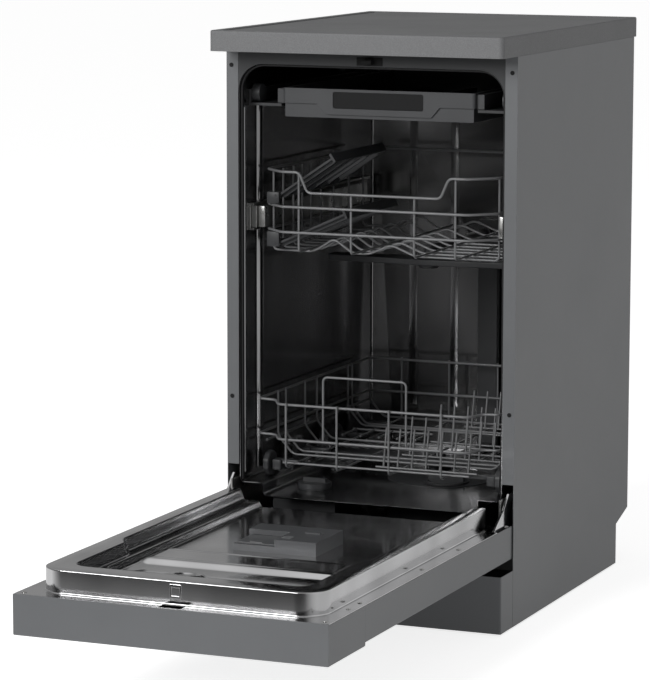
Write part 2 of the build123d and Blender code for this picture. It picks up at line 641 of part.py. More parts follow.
def make_control_panel():
    underside = DOOR_STEEL_Z - DOOR_SHEET
    shell = centred_block(DOOR_HALF_WIDTH, DOOR_END_Y, DOOR_CONTROL_REAR_Y, DOOR_OUTER_Z, DOOR_STEEL_Z)
    shell = fillet(shell.faces().sort_by(Axis.Z)[0].edges(), 2.0)
    shell -= centred_block(DOOR_HALF_WIDTH - FASCIA_WALL, DOOR_END_Y + FASCIA_WALL,
                           DOOR_CONTROL_REAR_Y - FASCIA_WALL, DOOR_OUTER_Z + FASCIA_WALL, DOOR_STEEL_Z + 1)
    shell -= centred_block(DOOR_HALF_WIDTH + 1, DOOR_END_Y + 2, DOOR_CONTROL_REAR_Y + 1,
                           underside, DOOR_STEEL_Z + 1)
    shell += centred_block(HANDLE_HALF_WIDTH + 3, HANDLE_FRONT_Y - 3, HANDLE_REAR_Y + 3,
                           DOOR_OUTER_Z + 1, DOOR_OUTER_Z + HANDLE_DEPTH + 3)
    shell -= centred_block(HANDLE_HALF_WIDTH, HANDLE_FRONT_Y, HANDLE_REAR_Y, DOOR_OUTER_Z - 1,
                           DOOR_OUTER_Z + HANDLE_DEPTH)
    for x in BUTTON_PLACES_X.values():
        shell -= rod((x, BUTTON_Y, DOOR_OUTER_Z - 1), (x, BUTTON_Y, DOOR_OUTER_Z + 5),
                     BUTTON_RADIUS + LOOSE_CLEARANCE)
    write("control_panel", shell)

    inner_face = DOOR_OUTER_Z + FASCIA_WALL
    for name, x in BUTTON_PLACES_X.items():
        button = rod((x, BUTTON_Y, DOOR_OUTER_Z + 0.2), (x, BUTTON_Y, inner_face + 6), BUTTON_RADIUS)
        button += rod((x, BUTTON_Y, inner_face + 0.3), (x, BUTTON_Y, inner_face + 2), BUTTON_RADIUS + 2.5)
        write(name, button)


LID_LEFT_X = -58.0
LID_RIGHT_X = 0.0
LID_FRONT_Y = -276.0
LID_REAR_Y = -222.0
LID_THICKNESS = 2.4
CAP_X = 33.0
CAP_Y = -222.0
CAP_RADIUS = 15.0


def make_dispenser():
    """A low tray with a sliding lid, beside and in front of a raised housing that takes the lid in."""
    gap = 0.2
    half_width = DISPENSER_HALF_WIDTH - gap
    front, rear = DISPENSER_FRONT_Y + gap, DISPENSER_REAR_Y - gap
    above = DISPENSER_TOP_Z + 1
    body = centred_block(half_width, front, rear, 128, DISPENSER_TOP_Z)
    body -= block(-half_width - 1, LID_RIGHT_X, front - 1, DISPENSER_STEP_Y, DISPENSER_LOW_Z, above)
    garage_top = DISPENSER_LOW_Z + LID_THICKNESS + 2 * gap
    body -= block(LID_LEFT_X - gap, LID_RIGHT_X, DISPENSER_STEP_Y - 1, rear - 2, DISPENSER_LOW_Z, garage_top)
    body -= block(LID_LEFT_X + 4, LID_RIGHT_X - 6, -270, -241, 145, DISPENSER_LOW_Z + 1)
    body -= rod((CAP_X, CAP_Y, 150), (CAP_X, CAP_Y, above), 9 + LOOSE_CLEARANCE)
    body -= rod((CAP_X, CAP_Y, 174), (CAP_X, CAP_Y, above), CAP_RADIUS + LOOSE_CLEARANCE)
    for index in range(4):
        rib_y = -264.0 + 3.5 * index
        body += block(4, 18, rib_y, rib_y + 1.6, DISPENSER_TOP_Z - 1, DISPENSER_TOP_Z + 0.8)
    write("dispenser_body", body)

    lid_bottom = DISPENSER_LOW_Z + gap
    lid_top = lid_bottom + LID_THICKNESS
    lid = block(LID_LEFT_X, LID_RIGHT_X - gap, LID_FRONT_Y, LID_REAR_Y, lid_bottom, lid_top)
    lid += block(-38, -20, LID_FRONT_Y + 1, LID_FRONT_Y + 4, lid_top - 1, lid_top + 1.4)
    write("dispenser_lid", lid)

    cap = rod((CAP_X, CAP_Y, 174.3), (CAP_X, CAP_Y, DISPENSER_TOP_Z), CAP_RADIUS)
    cap += rod((CAP_X, CAP_Y, 158), (CAP_X, CAP_Y, 175), 9)
    cap += block(CAP_X - 11, CAP_X + 11, CAP_Y - 1.5, CAP_Y + 1.5, DISPENSER_TOP_Z - 1, DISPENSER_TOP_Z + 1.6)
    write("rinse_aid_cap", cap)


def rack_ring(front_y, front_half, front_z, side_x, side_z, rear_y, tip_back):
    """The left and right runs of a rack's rim wire, from the front corners to the back."""
    right = [
        (0, front_y, front_z),
        (front_half, front_y, front_z),
        (front_half + 14, front_y + tip_back + 8, (front_z + side_z) / 2),
        (side_x, front_y + tip_back + 4, side_z),
        (side_x, rear_y, side_z),
        (0, rear_y, side_z),
    ]
    left = [(-x, y, z) for x, y, z in reversed(right)]
    return left[:-1] + right[1:]


def make_lower_rack():
    solids = []
    rim = rack_ring(LOWER_FRONT_Y, LOWER_FRONT_HALF_WIDTH, LOWER_FRONT_RIM_Z,
                    LOWER_SIDE_X, LOWER_RIM_Z, LOWER_REAR_Y, 18)
    second = rack_ring(LOWER_FRONT_Y, LOWER_FRONT_HALF_WIDTH, LOWER_SECOND_Z - 3,
                       LOWER_SIDE_X, LOWER_SECOND_Z, LOWER_REAR_Y, 18)
    solids += bent_wire(rim, WIRE_RADIUS)
    solids += bent_wire(second, WIRE_RADIUS)
    for x in (-LOWER_SIDE_X, LOWER_SIDE_X):
        solids.append(rod((x, LOWER_FRONT_Y + 50, LOWER_SIDE_WIRE_Z), (x, LOWER_REAR_Y, LOWER_SIDE_WIRE_Z),
                          WIRE_RADIUS))

    inside_x = LOWER_SIDE_X - WIRE_STEP
    chamfer = 24.0
    for y in LOWER_CROSS_WIRES_Y:
        half = [
            (inside_x, LOWER_RIM_Z + 3),
            (inside_x, LOWER_FLOOR_Z + chamfer + 3),
            (inside_x - chamfer, LOWER_FLOOR_Z),
        ]
        path = [(-x, y, z) for x, z in half] + [(x, y, z) for x, z in reversed(half)]
        solids += bent_wire(path, CROSS_WIRE_RADIUS)

    front_corner_y = LOWER_FRONT_Y + 14
    corner_x = LOWER_FRONT_HALF_WIDTH - 2
    solids.append(rod((-corner_x, front_corner_y, LOWER_FLOOR_Z), (corner_x, front_corner_y, LOWER_FLOOR_Z),
                      CROSS_WIRE_RADIUS))
    long_z = LOWER_FLOOR_Z - 2 * CROSS_WIRE_RADIUS + WELD_BITE
    for x in LOWER_LONG_WIRES_X:
        path = [
            (x, LOWER_FRONT_Y - WIRE_STEP, LOWER_FRONT_RIM_Z + 3),
            (x, LOWER_FRONT_Y - WIRE_STEP, long_z),
            (x, LOWER_REAR_Y + WIRE_STEP, long_z),
            (x, LOWER_REAR_Y + WIRE_STEP, LOWER_RIM_Z + 3),
        ]
        solids += bent_wire(path, CROSS_WIRE_RADIUS)

    loop_y = LOWER_FRONT_Y + WIRE_STEP
    loop = [
        (-78, loop_y, LOWER_SECOND_Z - 6),
        (-78, loop_y, 345),
        (52, loop_y, 345),
        (52, loop_y, LOWER_SECOND_Z - 6),
    ]
    solids += bent_wire(loop, CROSS_WIRE_RADIUS)
    solids += tine_rows(long_z)
    solids += wheel_carriers()
    write("lower_rack", *solids)


def tine_rows(long_z):
    """Plate tines in the right half, each row on a wire laid over the lengthwise wires."""
    base_z = long_z + 2 * CROSS_WIRE_RADIUS - WELD_BITE
    foot_z = base_z + CROSS_WIRE_RADIUS - WELD_BITE
    lean, height = 12.0, 55.0
    solids = []
    for y in TINE_ROWS_Y:
        solids.append(rod((-8, y, base_z), (150, y, base_z), CROSS_WIRE_RADIUS))
        for index in range(7):
            x = 4 + index * TINE_PITCH
            solids.append(rod((x, y, foot_z), (x, y + lean, foot_z + height), TINE_RADIUS))
    return solids


def wheel_carriers():
    """The plastic clips that hold the wheel axles on the rack's floor."""
    clip_inner_x, clip_outer_x = 165.0, 176.0
    clip_bottom = 194.0
    clip_top = LOWER_FLOOR_Z - CROSS_WIRE_RADIUS - 0.2
    solids = []
    for y in WHEEL_PLACES_Y:
        clip = block(clip_inner_x - 3, clip_outer_x, y - 9, y + 9, clip_bottom, clip_top)
        axle = rod((clip_outer_x, y, WHEEL_Z), (WHEEL_OUTER_X - 1, y, WHEEL_Z), WHEEL_AXLE_RADIUS)
        arm = block(clip_inner_x - 33, clip_inner_x - 3, y - 4, y + 4, 203, clip_top)
        carrier = clip + axle + arm
        solids += [carrier, mirrored(carrier)]
    return solids


def make_wheels():
    for number, y in enumerate(WHEEL_PLACES_Y, start=1):
        tyre = rod((WHEEL_INNER_X, y, WHEEL_Z), (WHEEL_OUTER_X - 4, y, WHEEL_Z), WHEEL_RADIUS)
        hub = rod((WHEEL_OUTER_X - 4, y, WHEEL_Z), (WHEEL_OUTER_X, y, WHEEL_Z), WHEEL_RADIUS - 5)
        bore = rod((WHEEL_INNER_X - 1, y, WHEEL_Z), (WHEEL_OUTER_X + 1, y, WHEEL_Z),
                   WHEEL_AXLE_RADIUS + RUNNING_CLEARANCE)
        wheel = tyre + hub - bore
        write(f"rack_wheels_{number}", wheel, mirrored(wheel))


FOLD_TINE_Y = 372.0
FOLD_TINE_Z = 216.5


def make_fold_tines():
    """A row of tines in the left half, lying flat on the rack's floor."""
    length = 58.0
    row = rod((-152, FOLD_TINE_Y, FOLD_TINE_Z), (-20, FOLD_TINE_Y, FOLD_TINE_Z), 2)
    for index in range(5):
        x = -146 + index * 30
        row += rod((x, FOLD_TINE_Y, FOLD_TINE_Z), (x, FOLD_TINE_Y - length, FOLD_TINE_Z), TINE_RADIUS)
    write("fold_tines", row)


def upper_floor_path(y):
    """One cross wire of the upper rack, from rim to rim over its waved floor."""
    x = UPPER_SIDE_X - WIRE_STEP
    low = UPPER_FLOOR_Z
    wave = [
        (-x, UPPER_RIM_Z - WIRE_STEP), (-x, low), (-112, low), (-80, low + 20), (-50, low), (-25, low),
        (10, low + 15), (48, low), (x, low), (x, UPPER_RIM_Z - WIRE_STEP),
    ]
    return [(px, y, pz) for px, pz in wave]


def make_upper_rack():
    solids = []
    tip = 34.0
    rim = [
        (-UPPER_SIDE_X, UPPER_REAR_Y, UPPER_RIM_Z),
        (-UPPER_SIDE_X, UPPER_FRONT_Y + tip, UPPER_RIM_Z),
        (-UPPER_FRONT_HALF_WIDTH, UPPER_FRONT_Y, UPPER_RIM_Z),
        (-116, UPPER_FRONT_Y, UPPER_RIM_Z),
        (-103, UPPER_FRONT_Y, UPPER_DIP_Z),
        (103, UPPER_FRONT_Y, UPPER_DIP_Z),
        (116, UPPER_FRONT_Y, UPPER_RIM_Z),
        (UPPER_FRONT_HALF_WIDTH, UPPER_FRONT_Y, UPPER_RIM_Z),
        (UPPER_SIDE_X, UPPER_FRONT_Y + tip, UPPER_RIM_Z),
        (UPPER_SIDE_X, UPPER_REAR_Y, UPPER_RIM_Z),
        (-UPPER_SIDE_X + 6, UPPER_REAR_Y, UPPER_RIM_Z),
    ]
    solids += bent_wire(rim, WIRE_RADIUS)
    for z, side_end_y in ((UPPER_SECOND_Z, UPPER_FRONT_Y + 68), (UPPER_THIRD_Z, UPPER_REAR_Y)):
        path = [
            (-UPPER_SIDE_X, side_end_y, z),
            (-UPPER_SIDE_X, UPPER_FRONT_Y + tip, z),
            (-UPPER_FRONT_HALF_WIDTH, UPPER_FRONT_Y, z),
            (UPPER_FRONT_HALF_WIDTH, UPPER_FRONT_Y, z),
            (UPPER_SIDE_X, UPPER_FRONT_Y + tip, z),
            (UPPER_SIDE_X, side_end_y, z),
        ]
        solids += bent_wire(path, WIRE_RADIUS)
    for y in UPPER_CROSS_WIRES_Y:
        solids += bent_wire(upper_floor_path(y), CROSS_WIRE_RADIUS)

    long_z = UPPER_FLOOR_Z + 2 * CROSS_WIRE_RADIUS - WELD_BITE
    front_y = UPPER_FRONT_Y + WIRE_STEP
    for x in UPPER_LONG_WIRES_X:
        top = UPPER_RIM_Z if abs(x) > 116 else UPPER_DIP_Z
        path = [(x, front_y, top), (x, front_y, long_z), (x, UPPER_REAR_Y - WIRE_STEP, long_z)]
        solids += bent_wire(path, CROSS_WIRE_RADIUS)

    manifold = rod((0, UPPER_ARM_Y, MANIFOLD_Z), (0, 541, MANIFOLD_Z), MANIFOLD_RADIUS)
    post = rod((0, UPPER_ARM_Y, 488), (0, UPPER_ARM_Y, MANIFOLD_Z + MANIFOLD_RADIUS), MANIFOLD_RADIUS)
    solids.append(manifold + post)
    inner_rail = rail_bar(UPPER_SIDE_X + WIRE_RADIUS, 193, RAIL_FRONT_Y + 8, UPPER_REAR_Y,
                          RAIL_SLIDE_HALF_HEIGHT)
    solids += [inner_rail, mirrored(inner_rail)]
    for hinge_z, wire_z in ((LOWER_SHELF_Z, UPPER_THIRD_Z), (UPPER_SHELF_Z, UPPER_SECOND_Z)):
        solids += shelf_pivots(hinge_z, wire_z)
    write("upper_rack", *solids)


def rail_bar(x0, x1, y0, y1, half_height):
    return block(x0, x1, y0, y1, RAIL_Z - half_height, RAIL_Z + half_height)


def make_upper_rails():
    outer = rail_bar(196.5, TUB_HALF_WIDTH, RAIL_FRONT_Y, RAIL_REAR_Y, RAIL_HALF_HEIGHT)
    outer -= rail_bar(190, 201.5, RAIL_FRONT_Y - 1, RAIL_REAR_Y + 1, RAIL_SLIDE_HALF_HEIGHT + 0.5)
    write("upper_rail_right", outer)
    write("upper_rail_left", mirrored(outer))
    slide = rail_bar(193.5, 201.0, RAIL_FRONT_Y + 4, RAIL_REAR_Y - 20, RAIL_SLIDE_HALF_HEIGHT)
    write("upper_rail_slides", slide, mirrored(slide))


def make_upper_spray_arm():
    bore = MANIFOLD_RADIUS + RUNNING_CLEARANCE
    hub_top = MANIFOLD_Z - MANIFOLD_RADIUS - 1.5
    outline_z = (UPPER_ARM_Z - 5, UPPER_ARM_Z + 4)
    arm = spray_arm(0, UPPER_ARM_Y, *outline_z, 160, bore, 15, 484, hub_top)
    filled = rod((0, UPPER_ARM_Y, 484), (0, UPPER_ARM_Y, 487), 15)
    arm += filled + rod((0, UPPER_ARM_Y, 487), (0, UPPER_ARM_Y, hub_top), 15)
    arm -= rod((0, UPPER_ARM_Y, 487), (0, UPPER_ARM_Y, hub_top + 1), bore)
    write("upper_spray_arm", arm)


SHELF_PIN_RADIUS = 1.8
SHELF_FRONT_Y = UPPER_FRONT_Y + 22
SHELF_REAR_Y = UPPER_FRONT_Y + 222
LOWER_SHELF_Z = 536.0
UPPER_SHELF_Z = 606.0


def cup_shelf(hinge_z, length, tilt):
    """A ribbed plastic shelf on a hinge rod along the rack's left side, tilted up inwards."""
    y0, y1 = SHELF_FRONT_Y, SHELF_REAR_Y
    barrel = rod((0, y0, 0), (0, y1, 0), 4.5)
    shelf = barrel + block(0, length, y0, y1, -3.0, 0.5)
    rib_count = 5
    for index in range(rib_count):
        y = y0 + 8 + index * (y1 - y0 - 16) / (rib_count - 1)
        shelf += block(4, length, y - 1.5, y + 1.5, -8, -2)
    shelf += block(length - 4, length, y0, y1, -8, 6)
    for index in range(4):
        y = y0 + 20 + index * (y1 - y0) / 4
        shelf -= block(20, length - 14, y, y + 22, -20, 20)
    shelf -= rod((0, y0 - 1, 0), (0, y1 + 1, 0), SHELF_PIN_RADIUS + RUNNING_CLEARANCE)
    return Pos(SHELF_HINGE_X, 0, hinge_z) * Rot(0, -tilt, 0) * shelf


def shelf_pivots(hinge_z, wire_z):
    """The pin that a cup shelf turns on, held by a clip at each end."""
    front, rear = SHELF_FRONT_Y - 0.5, SHELF_REAR_Y + 0.5
    clip_length = 5.5
    pin = rod((SHELF_HINGE_X, front - clip_length, hinge_z), (SHELF_HINGE_X, rear + clip_length, hinge_z),
              SHELF_PIN_RADIUS)
    bite = 0.02
    below = (hinge_z - 5, wire_z - WIRE_RADIUS + bite)
    above = (wire_z + WIRE_RADIUS - bite, hinge_z + 5)
    clip_z = below if wire_z > hinge_z else above
    outer_x = -UPPER_SIDE_X + WIRE_STEP + CROSS_WIRE_RADIUS - bite
    front_clip = block(outer_x, SHELF_HINGE_X + 5, front - clip_length, front, *clip_z)
    rear_clip = block(outer_x, SHELF_HINGE_X + 5, rear, rear + clip_length, hinge_z - 5, hinge_z + 5)
    return [pin + front_clip + rear_clip]


def make_cup_shelves():
    write("cup_shelf_lower", cup_shelf(LOWER_SHELF_Z, 118, 24))
    write("cup_shelf_upper", cup_shelf(UPPER_SHELF_Z, 106, 34))


def make_cutlery_tray():
    body = centred_block(TRAY_HALF_WIDTH - 3, TRAY_FRONT_Y + 3, TRAY_REAR_Y, TRAY_BOTTOM_Z, TRAY_TOP_Z)
    body += centred_block(TRAY_HALF_WIDTH, TRAY_FRONT_Y, TRAY_REAR_Y, TRAY_RIM_Z, TRAY_TOP_Z)
    body = fillet(body.edges().filter_by(Axis.Z).group_by(Axis.Y)[0], 5)
    body -= centred_block(TRAY_HALF_WIDTH - 3 - TRAY_WALL, TRAY_FRONT_Y + 3 + TRAY_WALL,
                          TRAY_REAR_Y - TRAY_WALL, TRAY_BOTTOM_Z + TRAY_WALL, TRAY_TOP_Z + 1)
    apron = Polyline((-95, TRAY_TOP_Z), (-95, TRAY_RIM_Z), (-82, 727), (82, 727), (95, TRAY_RIM_Z),
                     (95, TRAY_TOP_Z), close=True)
    apron = front_plate(make_face(apron), TRAY_FRONT_Y, TRAY_FRONT_Y + 6)
    body += fillet(apron.edges().filter_by(Axis.Y).group_by(Axis.Z)[0], 6)
    grip_pocket = centred_block(70, TRAY_FRONT_Y - 1, TRAY_FRONT_Y + 2, 736, 760)
    body -= fillet(grip_pocket.edges().filter_by(Axis.Y), 3)
    for side in (-1, 1):
        body += block(side * TRAY_HALF_WIDTH, side * TRAY_RUNNER_X, TRAY_FRONT_Y + 8, TRAY_REAR_Y, 741, 762)
    divider_pitch = 75.0
    for index in (-1, 0, 1):
        x = index * divider_pitch
        body += block(x - 1, x + 1, TRAY_FRONT_Y + 20, TRAY_REAR_Y - 20, TRAY_BOTTOM_Z + 1, TRAY_RIM_Z)
    write("cutlery_tray", body)
    grip = centred_block(69.8, TRAY_FRONT_Y + 0.6, TRAY_FRONT_Y + 2, 736.2, 759.8)
    write("tray_grip", fillet(grip.edges().filter_by(Axis.Y), 2.8))


def make_tray_rails():
    front_y = RAIL_FRONT_Y
    shelf = block(152, TUB_HALF_WIDTH, front_y, RAIL_REAR_Y, 736.5, TRAY_RAIL_TOP_Z)
    web = block(200.5, TUB_HALF_WIDTH, front_y, RAIL_REAR_Y, 736.5, 760)
    roller = rod((188, front_y + 15, 754), (201, front_y + 15, 754), 13.4)
    rail = shelf + web + roller
    write("tray_rail_right", rail)
    write("tray_rail_left", mirrored(rail))


make_worktop()
make_side_panels()
make_cabinet_screws()
make_rear_panel()
make_kick_plate()
make_base_tray()
make_feet()
make_front_header()
make_door_lock()
make_tub()
make_tub_gasket()
make_sump()
make_lower_spray_arm()
make_supply_pipe()
make_pumps()
make_water_inlet()
make_terminal_box()
make_salt_container()
make_counterweight()
make_hinges()
make_door_outer_panel()
make_door_liner()
make_door_catch()
make_door_screws()
make_control_panel()
make_dispenser()
make_lower_rack()
make_wheels()
make_fold_tines()
make_upper_rack()
make_upper_rails()
make_upper_spray_arm()
make_cup_shelves()
make_cutlery_tray()
make_tray_rails()
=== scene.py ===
import json
import math

import bmesh
import bpy
from mathutils import Matrix, Vector

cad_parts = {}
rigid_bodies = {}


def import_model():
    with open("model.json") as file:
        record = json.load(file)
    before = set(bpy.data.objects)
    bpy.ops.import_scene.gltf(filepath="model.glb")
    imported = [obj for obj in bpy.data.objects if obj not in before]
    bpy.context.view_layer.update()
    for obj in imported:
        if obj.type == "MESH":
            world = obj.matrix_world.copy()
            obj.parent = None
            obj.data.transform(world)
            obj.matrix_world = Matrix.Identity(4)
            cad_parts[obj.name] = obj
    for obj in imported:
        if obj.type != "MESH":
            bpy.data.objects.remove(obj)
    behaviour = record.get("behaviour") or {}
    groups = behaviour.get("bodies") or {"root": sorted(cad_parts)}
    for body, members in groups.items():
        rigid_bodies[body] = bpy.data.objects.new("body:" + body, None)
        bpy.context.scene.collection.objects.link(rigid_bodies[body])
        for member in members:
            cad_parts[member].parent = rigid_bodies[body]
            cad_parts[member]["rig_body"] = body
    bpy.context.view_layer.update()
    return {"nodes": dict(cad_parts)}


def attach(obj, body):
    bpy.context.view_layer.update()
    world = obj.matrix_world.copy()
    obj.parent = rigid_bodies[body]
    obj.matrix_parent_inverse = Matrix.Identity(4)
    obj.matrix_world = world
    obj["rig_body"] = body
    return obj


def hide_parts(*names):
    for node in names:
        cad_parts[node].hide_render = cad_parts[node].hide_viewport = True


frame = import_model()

bl_info = {
    "name": "Open Dishwasher",
    "version": (1, 0, 0),
    "blender": (4, 5, 0),
    "location": "View3D > Sidebar > Dishwasher",
    "description": "Dresses the packed model of a slim dishwasher and builds its stage",
    "category": "Object",
}

MM = 0.001
FRONT_EDGE_Y = 3.0
SHARP_ANGLE = 32.0
BEVEL_ANGLE = 30.0


def point(x, y, z):
    """A place in millimetres, with y measured from the worktop's front edge."""
    return Vector((x, y + FRONT_EDGE_Y, z)) * MM


# Building pieces


def linked(name, data):
    """A new object in the scene that holds the data."""
    made = bpy.data.objects.new(name, data)
    bpy.context.scene.collection.objects.link(made)
    return made


def mesh_object(name, bm):
    """A new object in the scene with the bmesh as its mesh; the bmesh is freed."""
    mesh = bpy.data.meshes.new(name)
    bm.to_mesh(mesh)
    bm.free()
    return linked(name, mesh)


def finish_piece(name, bm, material, body, replaced=()):
    """A piece whose faces are turned outwards first."""
    bmesh.ops.recalc_face_normals(bm, faces=bm.faces)
    return plain_piece(name, bm, material, body, replaced)


def plain_piece(name, bm, material, body, replaced=(), sharp=SHARP_ANGLE):
    return dress(mesh_object(name, bm), material, body, replaced, sharp)


def dress(piece, material, body, replaced=(), sharp=SHARP_ANGLE):
    """Gives a piece its material and smooth shading, and lets it ride on its body."""
    mesh = piece.data
    mesh.materials.clear()
    mesh.materials.append(material)
    mesh.shade_smooth()
    mesh.set_sharp_from_angle(angle=math.radians(sharp))
    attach(piece, body)
    if replaced:
        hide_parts(*replaced)
    return piece


def bevel(bm, edges, width, segments=2):
    if edges:
        bmesh.ops.bevel(bm, geom=list(edges), offset=width * MM, segments=segments, profile=0.5,
                        affect="EDGES", material=-1, clamp_overlap=True, offset_type="OFFSET")


def add_block(bm, low, high, width, segments=2):
    """A box between two corners, with its edges rounded."""
    low, high = point(*low), point(*high)
    place = Matrix.LocRotScale((low + high) / 2, None, high - low)
    made = bmesh.ops.create_cube(bm, size=1.0, matrix=place)
    bevel(bm, {e for v in made["verts"] for e in v.link_edges}, width, segments)


def add_rod(bm, start, end, radius, sides=24, rounding=0.0):
    start, end = point(*start), point(*end)
    run = end - start
    turn = run.to_track_quat("Z", "Y")
    place = Matrix.LocRotScale((start + end) / 2, turn, None)
    made = bmesh.ops.create_cone(bm, cap_ends=True, segments=sides, radius1=radius * MM,
                                 radius2=radius * MM, depth=run.length, matrix=place)
    if rounding:
        rims = {e for v in made["verts"] for e in v.link_edges if e.calc_face_angle(0) > 1.0}
        bevel(bm, rims, rounding, 3)


def add_lathe(bm, profile, centre, axis, sides):
    """A turned shape: (radius, distance along the axis) pairs spun round the axis."""
    axis = Vector(axis).normalized()
    side = axis.orthogonal().normalized()
    origin = point(*centre)
    ring = [bm.verts.new(origin + (side * r + axis * h) * MM) for r, h in profile]
    edges = [bm.edges.new(pair) for pair in zip(ring, ring[1:])]
    bmesh.ops.spin(bm, geom=ring + edges, cent=origin, axis=axis, angle=math.tau,
                   steps=sides, use_merge=True, use_duplicate=False)
    bmesh.ops.remove_doubles(bm, verts=bm.verts, dist=1e-6)


def rounded_outline(bm, corners, radii, segments):
    """A flat face whose corners are rounded, each by its own radius."""
    verts = [bm.verts.new(point(*corner)) for corner in corners]
    bm.faces.new(verts)
    for vert, radius in zip(verts, radii):
        if radius:
            bmesh.ops.bevel(bm, geom=[vert], offset=radius * MM, segments=segments, profile=0.5,
                            affect="VERTICES", material=-1, offset_type="OFFSET")
    bm.faces.ensure_lookup_table()
    return bm.faces[-1]


def raise_face(bm, face, move):
    """Pulls a face out along a vector in millimetres and returns the moved face."""
    made = bmesh.ops.extrude_face_region(bm, geom=[face])
    verts = [g for g in made["geom"] if isinstance(g, bmesh.types.BMVert)]
    faces = [g for g in made["geom"] if isinstance(g, bmesh.types.BMFace)]
    bmesh.ops.translate(bm, verts=verts, vec=Vector(move) * MM)
    if face.is_valid:
        bmesh.ops.delete(bm, geom=[face], context="FACES_ONLY")
    return faces[0]


def sharp_edges(bm):
    limit = math.radians(BEVEL_ANGLE)
    return [e for e in bm.edges if e.is_manifold and e.calc_face_angle(0) > limit]


def softened(node, material, width, segments=2):
    """The packed node with its sharp edges rounded, standing for the node."""
    source = frame["nodes"][node]
    body = source["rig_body"]
    bm = bmesh.new()
    bm.from_mesh(source.data)
    bmesh.ops.remove_doubles(bm, verts=bm.verts, dist=2e-6)
    bmesh.ops.dissolve_limit(bm, angle_limit=math.radians(0.6), verts=bm.verts, edges=bm.edges)
    bevel(bm, sharp_edges(bm), width, segments)
    piece = plain_piece(node + "_finished", bm, material, body, (node,))
    apply_modifier(piece, "WEIGHTED_NORMAL", keep_sharp=True)
    return piece


def wire_piece(name, paths, radius, bend, material, body, replaced=()):
    """Round wires along open paths, with every corner bent to a radius."""
    bm = bmesh.new()
    for path in paths:
        verts = [bm.verts.new(point(*p)) for p in path]
        for pair in zip(verts, verts[1:]):
            bm.edges.new(pair)
        bmesh.ops.bevel(bm, geom=verts[1:-1], offset=bend * MM, segments=5, profile=0.5,
                        affect="VERTICES", material=-1, offset_type="OFFSET")
    select_only(mesh_object(name, bm))
    bpy.ops.object.convert(target="CURVE")
    piece = bpy.context.object
    piece.data.bevel_depth = radius * MM
    piece.data.bevel_resolution = 2
    piece.data.use_fill_caps = True
    bpy.ops.object.convert(target="MESH")
    return dress(bpy.context.object, material, body, replaced, 60.0)


def select_only(piece):
    bpy.ops.object.select_all(action="DESELECT")
    piece.select_set(True)
    bpy.context.view_layer.objects.active = piece


def apply_modifier(piece, kind, **settings):
    modifier = piece.modifiers.new(kind.title(), kind)
    for key, value in settings.items():
        setattr(modifier, key, value)
    select_only(piece)
    bpy.ops.object.modifier_apply(modifier=modifier.name)


# Finishes


def new_group(name, inputs, outputs):
    group = bpy.data.node_groups.new(name, "ShaderNodeTree")
    for label, kind, default in inputs:
        socket = group.interface.new_socket(label, in_out="INPUT", socket_type=kind)
        if default is not None:
            socket.default_value = default
    for label, kind in outputs:
        group.interface.new_socket(label, in_out="OUTPUT", socket_type=kind)
    source = group.nodes.new("NodeGroupInput")
    target = group.nodes.new("NodeGroupOutput")
    return group, source, target


def grain_group():
    """Fine moulded or sprayed grain: a height, a mask for gloss and a slow tint."""
    group, source, target = new_group(
        "fine_grain",
        [("Vector", "NodeSocketVector", None), ("Scale", "NodeSocketFloat", 600.0),
         ("Tint Scale", "NodeSocketFloat", 6.0)],
        [("Height", "NodeSocketFloat"), ("Gloss Mask", "NodeSocketFloat"), ("Tint Mask", "NodeSocketFloat")],
    )
    nodes, links = group.nodes, group.links
    grain = nodes.new("ShaderNodeTexNoise")
    grain.inputs["Detail"].default_value = 3.0
    slow = nodes.new("ShaderNodeTexNoise")
    slow.inputs["Detail"].default_value = 4.0
    slow.inputs["Roughness"].default_value = 0.6
    for noise, scale in ((grain, "Scale"), (slow, "Tint Scale")):
        links.new(source.outputs["Vector"], noise.inputs["Vector"])
        links.new(source.outputs[scale], noise.inputs["Scale"])
    mix = nodes.new("ShaderNodeMath")
    mix.operation = "MULTIPLY_ADD"
    mix.inputs[1].default_value = 0.35
    links.new(grain.outputs["Fac"], mix.inputs[0])
    links.new(slow.outputs["Fac"], mix.inputs[2])
    links.new(grain.outputs["Fac"], target.inputs["Height"])
    links.new(mix.outputs[0], target.inputs["Gloss Mask"])
    links.new(slow.outputs["Fac"], target.inputs["Tint Mask"])
    return group


